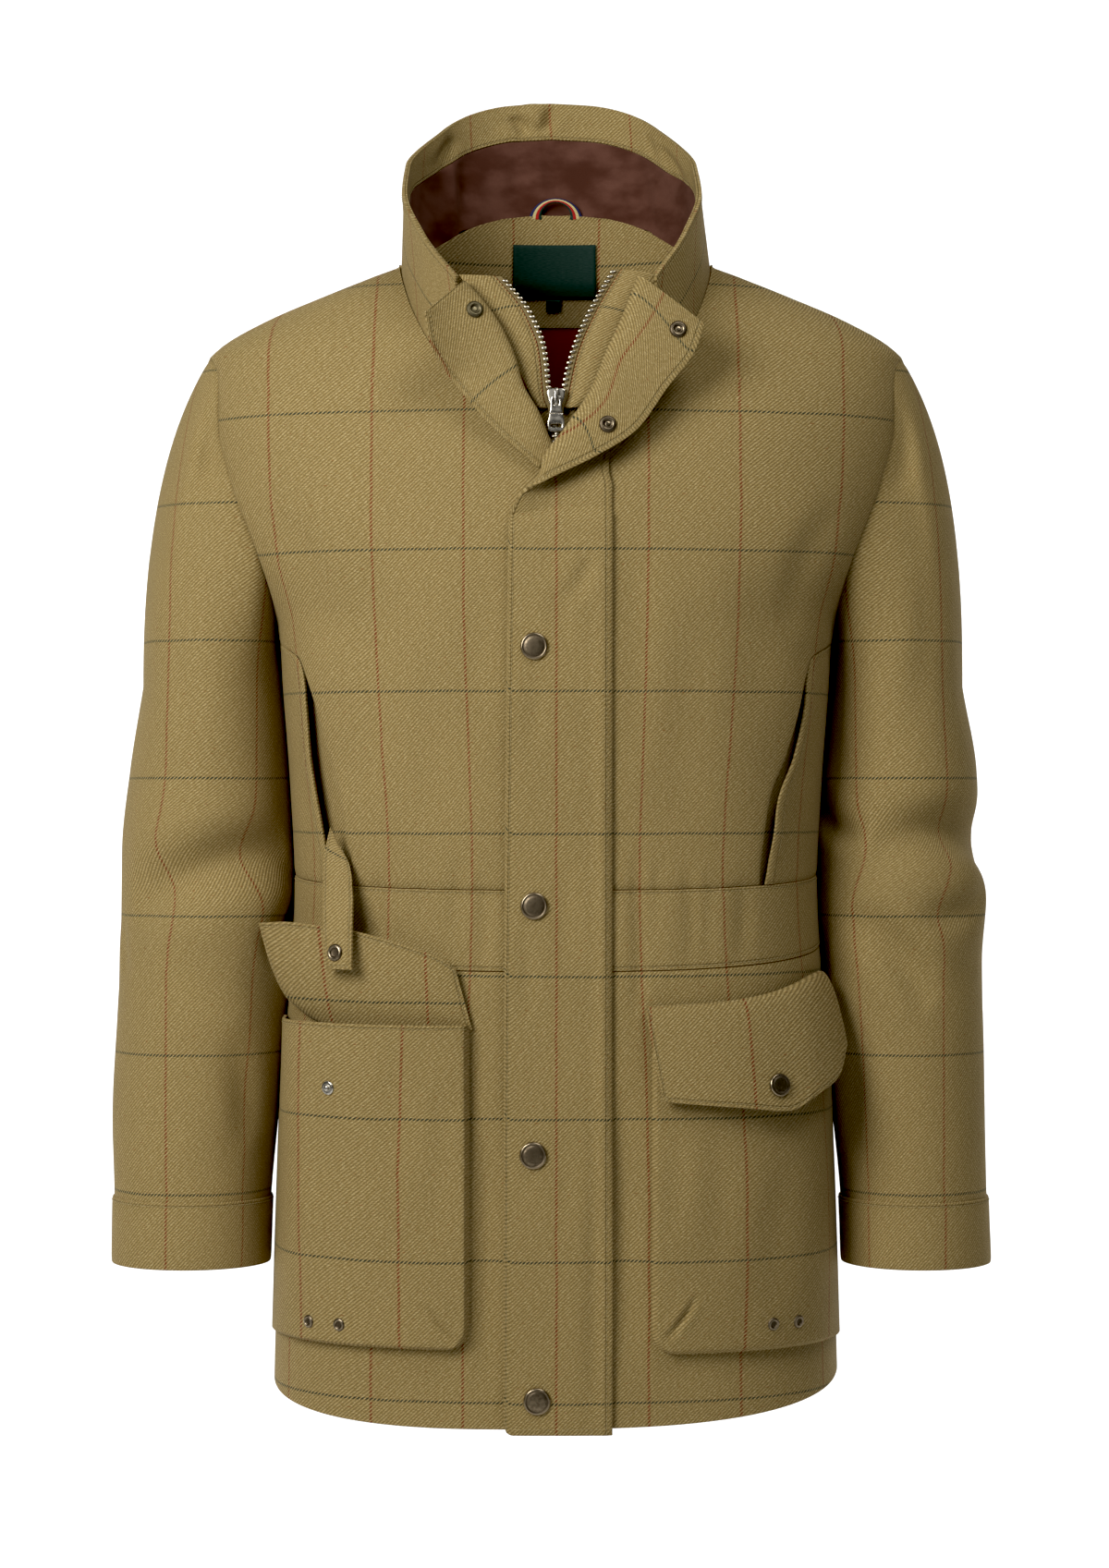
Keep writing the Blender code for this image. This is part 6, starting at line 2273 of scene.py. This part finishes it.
@dataclass
class BellowsPockets:
    """Bellows pockets, one flap closed and the other turned up, and the strap that holds it.

    Attributes:
        form: The body's form.
        sewing: Where stitches are collected.
        closed: x, root z, free z, root lift and free lift of the closed flap, from its inner end.
        raised: The same for the raised flap.
        strap: Centre x, z, lift, half width across and up of the strap, from the slit down.
    """

    form: BodyForm
    sewing: Sewing
    sizes: dict[Side, PocketSize] = field(default_factory=lambda: {
        Side.RIGHT: PocketSize(55 * MM, -504 * MM, -712 * MM, 6 * MM, 14 * MM, True),
        Side.LEFT: PocketSize(61 * MM, -506 * MM, -715 * MM, 3.5 * MM, 4 * MM, False),
    })
    closed: Array = tabled([
        [56, -492, -552, 2.6, 15],
        [80, -491, -554, 2.6, 17],
        [112, -489, -557, 2.6, 20],
        [136, -485, -560, 2.6, 22],
        [152, -480, -551, 2.6, 24],
        [164, -475, -541, 2.6, 24],
        [171, -473, -522, 2.6, 22],
    ])
    raised: Array = tabled([
        [-53, -507, -468, 2.6, 6],
        [-68, -509, -461, 2.6, 10],
        [-95, -510, -452, 2.6, 14],
        [-122, -510, -445, 2.6, 17],
        [-142, -508, -442, 2.6, 20],
        [-156, -503, -441, 2.6, 24],
        [-167, -495, -443, 2.6, 30],
    ])
    strap: Array = tabled([
        [-142, -384, 1.7, 3, -6],
        [-137, -394, 6, 7, -7],
        [-134, -406, 11, 8.6, -6.5],
        [-131, -419, 16, 8.6, -3],
        [-127.5, -440, 23, 8, 0],
        [-126, -469, 26, 7.4, 0],
    ])
    side_y: float = -34 * MM
    side_fade: float = 0.4
    corner: float = 16 * MM
    edge_lift: float = 2.7 * MM
    gusset_wide: float = 3 * MM
    edge_share: float = 0.016
    slant: float = 10 * MM
    unmatched: float = 21 * MM
    stitch: float = 2.4 * MM
    strap_stitch: float = 2 * MM
    raised_line: float = -490 * MM
    strap_line: Pair = (8 * MM, 76 * MM)

    def pocket(self, side: Side) -> Array:
        """The skirt's places moved out, with gusset walls at the edges and a swelling face.

        Args:
            side: Which pocket.

        Returns:
            Its face.
        """
        form, size = self.form, self.sizes[side]
        height = size.top - size.bottom
        steps = np.linspace(0, self.gusset_wide, 8)
        rest = self.gusset_wide + (height - self.gusset_wide) * np.linspace(0, 1, 96)[1:] ** 0.97
        heights = size.bottom + np.concatenate([steps, rest])
        above = np.clip(self.corner - (heights - size.bottom), 0, self.corner)
        cut_in = self.corner - np.sqrt(self.corner**2 - above**2)
        starts = form.angle_at_x(size.inner + cut_in, heights)
        ends = form.angle_at_y(np.full_like(heights, self.side_y), heights)
        edge = np.linspace(0, self.edge_share, 9)
        inner = np.linspace(self.edge_share, 1 - self.edge_share, 96)[1:-1]
        shares = np.concatenate([edge, inner, 1 - edge[::-1]])
        angles = form.spread(heights, starts, ends, shares)
        z = np.broadcast_to(heights[:, None], angles.shape)
        up = ((heights - size.bottom) / height)[:, None]
        across = smooth_step(shares / self.edge_share) * smooth_step((1 - shares) / self.side_fade)
        rise = smooth_step((heights - size.bottom) / self.gusset_wide)[:, None]
        shape = up**1.6 if size.open_mouth else np.sin(math.pi * up)
        swell = size.swell * shape * np.sin(math.pi * shares)[None, :] ** 0.8
        lift = self.edge_lift + (size.gusset + swell) * across[None, :] * rise
        points = form.torso(angles, z) + form.normal(angles, z) * lift[..., None]
        chart = mirrored_chart(form.chart(angles, z), side)
        if side is Side.RIGHT:
            chart[..., 0] -= self.unmatched
        points = creased(points, points[..., 0] / MM, z / MM, POCKET_CREASES[side])
        points = mirrored(points, side)
        flip = side is Side.RIGHT
        Cloth("pocket_" + side.word, points, chart, (0.2, 0.21), 0.97, flip=flip, inner=LINING,
              rests_on=("skirt_" + side.word,), sewn=sewn_at(points, (Edge.HEAD, self.stitch))).build()
        self.sewing.edge(points, Edge.HEAD, self.stitch, flip, 0.03, 0.97)
        return points

    def flap(self, side: Side) -> Array:
        """Flap: straight lines from root to free edge, lifted off the skirt by the root of their share.

        Args:
            side: The left flap hangs closed and the right one stands up.

        Returns:
            Its face.
        """
        rows = self.closed if side is Side.LEFT else self.raised
        shares = edged(70, 125 * MM)
        x, root, free, root_lift, free_lift = smooth(np.linspace(0, 1, len(rows)), rows, shares).T
        share = edged(36, 60 * MM)[:, None]
        z = root + (free - root) * share
        lift = root_lift + (free_lift - root_lift) * share**0.5
        x = x + side.value * self.slant * share * (1 - shares) ** 4
        points = self.form.front(x, z, lift)
        level = z - (self.form.line_height if side is Side.LEFT else self.raised_line)
        chart = np.stack([x if side is Side.LEFT else x + self.unmatched, level], axis=-1)
        lines = [(edge, self.stitch) for edge in (Edge.START, Edge.HEAD, Edge.END)]
        cut = (0.165, 0.072) if side is Side.LEFT else (0.165, 0.06)
        sewn = sewn_at(points, *lines, (Edge.FOOT, 1.5 * MM))
        Cloth("pocket_flap_" + side.word, points, chart, cut, 0.95, flip=True, held=Held.FOLDED,
              rests_on=("skirt_" + side.word,), sewn=sewn).build()
        for edge, inset in lines:
            self.sewing.edge(points, edge, inset, True, 0.03, 0.97)
        return points

    def hold_strap(self) -> Array:
        """Strap from the right hand slit that holds the raised flap, twisting as it leaves the slit.

        Returns:
            Its face.
        """
        rows = smooth(np.linspace(0, 1, len(self.strap)), self.strap, np.linspace(0, 1, 56))
        x, z, lift, wide, tall = rows.T
        across = np.linspace(-1, 1, 14)
        grid_x = x[:, None] + wide[:, None] * across
        grid_z = z[:, None] + tall[:, None] * across
        points = self.form.front(grid_x, grid_z, np.broadcast_to(lift[:, None], grid_x.shape))
        line_x, line_z = self.strap_line
        chart = np.stack([run_length(points, 1) + line_x, -run_length(points, 0) - line_z], axis=-1)
        lines = [(edge, self.strap_stitch) for edge in (Edge.START, Edge.END, Edge.HEAD)]
        Cloth("hold_strap", points, chart, (0.0165, 0.107), flip=True,
              rests_on=("side_right", "pocket_flap_right"), sewn=sewn_at(points, *lines)).build()
        for edge, inset in lines:
            self.sewing.edge(points, edge, inset, True, 0.04, 0.96)
        return points

    def build(self) -> dict[str, Array]:
        """Pockets, flaps and strap.

        Returns:
            The faces that carry metal.
        """
        faces = {"pocket_" + side.word: self.pocket(side) for side in Side}
        faces |= {"pocket_flap_" + side.word: self.flap(side) for side in Side}
        faces["hold_strap"] = self.hold_strap()
        return faces


class Shape(Enum):
    """Turned metal shapes: rows of radius share, height share and how bright the metal is marked, partly as
    wear and partly as painted highlight.
    """

    CAP = (
        (0.01, 0.9, 0.6), (0.3, 0.89, 0.6), (0.55, 0.86, 0.55), (0.7, 0.8, 0.45), (0.75, 0.7, 0.0),
        (0.8, 0.7, 0.0), (0.84, 0.8, 0.6), (0.9, 0.8, 0.9), (0.96, 0.64, 1.0), (0.995, 0.38, 0.8),
        (1.0, 0.2, 0.4), (0.97, 0.0, 0.0),
    )
    # The socket's raised middle is marked fully bright: a painted highlight.
    SOCKET = (
        (0.01, 0.35, 1.0), (0.16, 0.35, 1.0), (0.26, 0.3, 0.9), (0.32, 0.2, 0.2), (0.4, 0.2, 0.0),
        (0.48, 0.6, 0.3), (0.54, 0.9, 0.7), (0.64, 1.0, 0.6), (0.76, 0.96, 0.3), (0.9, 0.74, 0.2),
        (0.98, 0.4, 0.3), (1.0, 0.0, 0.0),
    )
    STUD = (
        (0.01, 1.0, 1.0), (0.22, 0.98, 1.0), (0.36, 0.9, 0.9), (0.43, 0.75, 0.6), (0.43, 0.6, 0.2),
        (0.38, 0.45, 0.0), (0.42, 0.32, 0.1), (0.6, 0.32, 0.6), (0.84, 0.36, 0.9), (0.95, 0.27, 1.0),
        (1.0, 0.1, 0.5), (1.0, 0.0, 0.0),
    )
    EYELET = (
        (0.01, 0.05, -0.5), (0.4, 0.05, -0.5), (0.5, 0.1, -0.3), (0.54, 0.6, 0.3), (0.62, 0.95, 0.9),
        (0.72, 1.0, 0.9), (0.86, 0.85, 0.6), (0.97, 0.4, 0.3), (1.0, 0.0, 0.0),
    )


@dataclass
class MetalTrim:
    """Snap caps, sockets, the stud and the eyelets, seated on the cloth's own face.

    Attributes:
        faces: Grids of the cloth's faces by name.
    """

    faces: dict[str, Array]
    sides: int = 44
    off: float = 0.1

    def seat(self, face: str, x: float, z: float) -> tuple[Array, Array]:
        """Place and direction on the frontmost facet of a face at this x and z.

        Args:
            face: Name of the face.
            x: Place across, in millimetres.
            z: Height, in millimetres.

        Returns:
            The place and the outward direction.
        """
        points = self.faces[face]
        middle = (points[:-1, :-1] + points[1:, 1:] + points[:-1, 1:] + points[1:, :-1]) / 4
        normal = unit(np.cross(points[1:, 1:] - points[:-1, :-1], points[1:, :-1] - points[:-1, 1:]))
        normal = normal * -np.sign(normal[..., 1:2])
        apart = np.hypot(middle[..., 0] - x * MM, middle[..., 2] - z * MM) + middle[..., 1] / 2
        found = np.unravel_index(np.argmin(apart), apart.shape)
        at, way = middle[found], normal[found]
        y = at[1] - (way[0] * (x * MM - at[0]) + way[2] * (z * MM - at[2])) / way[1]
        return np.array([x * MM, y, z * MM]), way

    def put(
        self, node: str, shape: Shape, face: str, x: float, z: float, radius: float, height: float,
        finish: MetalFinish = BRASS,
    ) -> None:
        """One turned piece: its profile swept round the outward direction.

        Args:
            node: The frame's node.
            shape: Its profile.
            face: Name of the face that carries it.
            x: Place across, in millimetres.
            z: Height, in millimetres.
            radius: Radius in millimetres.
            height: Height in millimetres.
            finish: Its metal.
        """
        place, way = self.seat(face, x, z)
        first = unit(np.cross(way, np.array([0.0, 0.0, 1.0])))
        second = np.cross(way, first)
        out, rise, rub = np.array(shape.value).T[:, :, None]
        turn = np.linspace(0, math.tau, self.sides, endpoint=False)[:, None]
        ring = first * np.cos(turn) + second * np.sin(turn)
        base = place + way * self.off * MM
        points = base + ring * (out * radius * MM)[..., None] + way * (rise * height * MM)[..., None]
        faces = grid_faces(len(out), self.sides, True, True)
        made = put_mesh(node + "_metal", points, faces, [finish.material()])
        mark(made.data, "rub", np.broadcast_to(rub, points.shape[:2]))
        attach(made, node)

    def build(self) -> None:
        """Every piece at its place."""
        flap_caps = [(-13.8, -262.7), (-13.8, -428), (-14.4, -586.7), (-12, -744)]
        for number, (x, z) in enumerate(flap_caps, start=1):
            self.put(f"flap_cap_{number}", Shape.CAP, "flap", x, z, 8.8, 2.6)
        self.put("pocket_cap_left", Shape.CAP, "pocket_flap_left", 143, -543, 7.6, 2.6)
        self.put("pocket_stud", Shape.STUD, "pocket_right", -146, -545, 4.6, 3.2, ZINC)
        self.put("socket_lapel_top", Shape.SOCKET, "lapel", 78.4, -58.8, 5.6, 1.6)
        self.put("socket_lapel_low", Shape.SOCKET, "lapel", 33.1, -120.8, 5.6, 1.6)
        self.put("socket_underlap", Shape.SOCKET, "underlap", -52, -46, 5.6, 1.6, DULL_BRASS)
        self.put("socket_strap", Shape.EYELET, "hold_strap", -141, -458, 5.6, 1.6)
        for node, face, x in (
            ("eyelet_right_1", "pocket_right", -160),
            ("eyelet_right_2", "pocket_right", -139.5),
            ("eyelet_left_1", "pocket_left", 140),
            ("eyelet_left_2", "pocket_left", 157),
        ):
            self.put(node, Shape.EYELET, face, x, -698, 4.2, 1.0)


@dataclass
class Studio:
    """Camera at the photograph's place, soft lights and a pale sweep.

    Attributes:
        distance: From the camera to the coat's mid-plane.
        centre: Point of the mid-plane at the middle of the picture, across and up.
        height: Height of the mid-plane that the picture shows.
        floor: Height of the floor.
        black: Light that the picture shows as black.
    """

    distance: float = 2.4
    centre: Pair = (-0.0009, -0.3503)
    height: float = 1697 * 0.625 * MM
    floor: float = -1.25
    black: float = 0.013

    def camera(self) -> None:
        """Level camera whose lens shows the wanted height at the wanted distance."""
        data = bpy.data.cameras.new("camera")
        sensor = 36
        data.sensor_fit = "VERTICAL"
        data.sensor_height = sensor
        data.lens = sensor * self.distance / self.height
        data.clip_end = 50
        made = bpy.data.objects.new("camera", data)
        made.location = (self.centre[0], -self.distance, self.centre[1])
        made.rotation_euler = (math.pi / 2, 0, 0)
        bpy.context.scene.collection.objects.link(made)
        bpy.context.scene.camera = made

    def light(
        self, name: str, place: Triple, size: float, power: float,
        target: Triple = (0.0, 0.0, -0.35),
    ) -> None:
        """Square soft light.

        Args:
            name: The light's name.
            place: Where it stands.
            size: Length of its side.
            power: Its watts.
            target: What it faces.
        """
        data = bpy.data.lights.new(name, "AREA")
        data.size = size
        data.energy = power
        made = bpy.data.objects.new(name, data)
        made.location = place
        aim = np.array(target) - np.array(place)
        tilt = math.acos(-aim[2] / np.linalg.norm(aim))
        made.rotation_euler = (tilt, 0.0, math.atan2(aim[1], aim[0]) - math.pi / 2)
        bpy.context.scene.collection.objects.link(made)

    def sweep(self) -> None:
        """Floor that curves up into a wall: a straight run, a quarter circle and a straight rise."""
        near, bend, radius, top, half = -6.0, 2.0, 1.2, 5.5, 6.0
        turn = np.linspace(0, math.pi / 2, 16)
        x = np.array([-half, half])
        y = np.concatenate([[near], bend + radius * np.sin(turn), [bend + radius]])
        z = np.concatenate([[0.0], radius - radius * np.cos(turn), [top]]) + self.floor
        points = np.stack(np.broadcast_arrays(x, y[:, None], z[:, None]), axis=-1)
        made, board, shader = start_material("pale_sweep")
        place = board.add("ShaderNodeTexCoord").outputs["Object"]
        tone = board.mix(board.noise(place, 1.5), (0.9, 0.9, 0.9, 1), (0.93, 0.93, 0.93, 1))
        behind = board.add("ShaderNodeNewGeometry").outputs["Backfacing"]
        seen = board.math("SUBTRACT", 1.0, behind)
        board.fill(shader, {"Base Color": tone, "Roughness": 0.9, "Alpha": seen})
        put_mesh("pale_sweep", points, grid_faces(len(y), 2, False, False), [made])

    def build(self) -> None:
        """Camera, light and floor."""
        self.camera()
        self.sweep()
        self.light("key", (-1.05, -1.4, 0.4), 0.9, 32)
        self.light("top", (0.7, -1.0, 1.3), 0.9, 15)
        self.light("wall_left", (-2.6, 0.9, 0.6), 1.8, 100, (-2.0, 3.2, -0.4))
        self.light("wall_right", (2.6, 0.9, 0.6), 1.8, 100, (2.0, 3.2, -0.4))
        world = bpy.data.worlds.new("studio")
        world.use_nodes = True
        background = world.node_tree.nodes["Background"]
        Board(world.node_tree).fill(background, {"Color": (1, 1, 1, 1), "Strength": 0.03})
        bpy.context.scene.world = world
        view = bpy.context.scene.view_settings
        view.view_transform = "Standard"
        view.use_curve_mapping = True
        view.curve_mapping.black_level = (self.black,) * 3
        view.curve_mapping.update()


def main() -> None:
    """Load the frame and dress it piece by piece."""
    logging.basicConfig(level=logging.INFO, format="%(message)s")
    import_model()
    Studio().build()
    form, sewing = BodyForm(), Sewing()
    Panels(form, sewing).build()
    Sleeves(form, sewing).build()
    StandCollar(form, sewing).build()
    faces = FrontClosure(form, sewing).build()
    faces |= BellowsPockets(form, sewing).build()
    MetalTrim(faces).build()
    sewing.build()


if __name__ == "__main__":
    main()
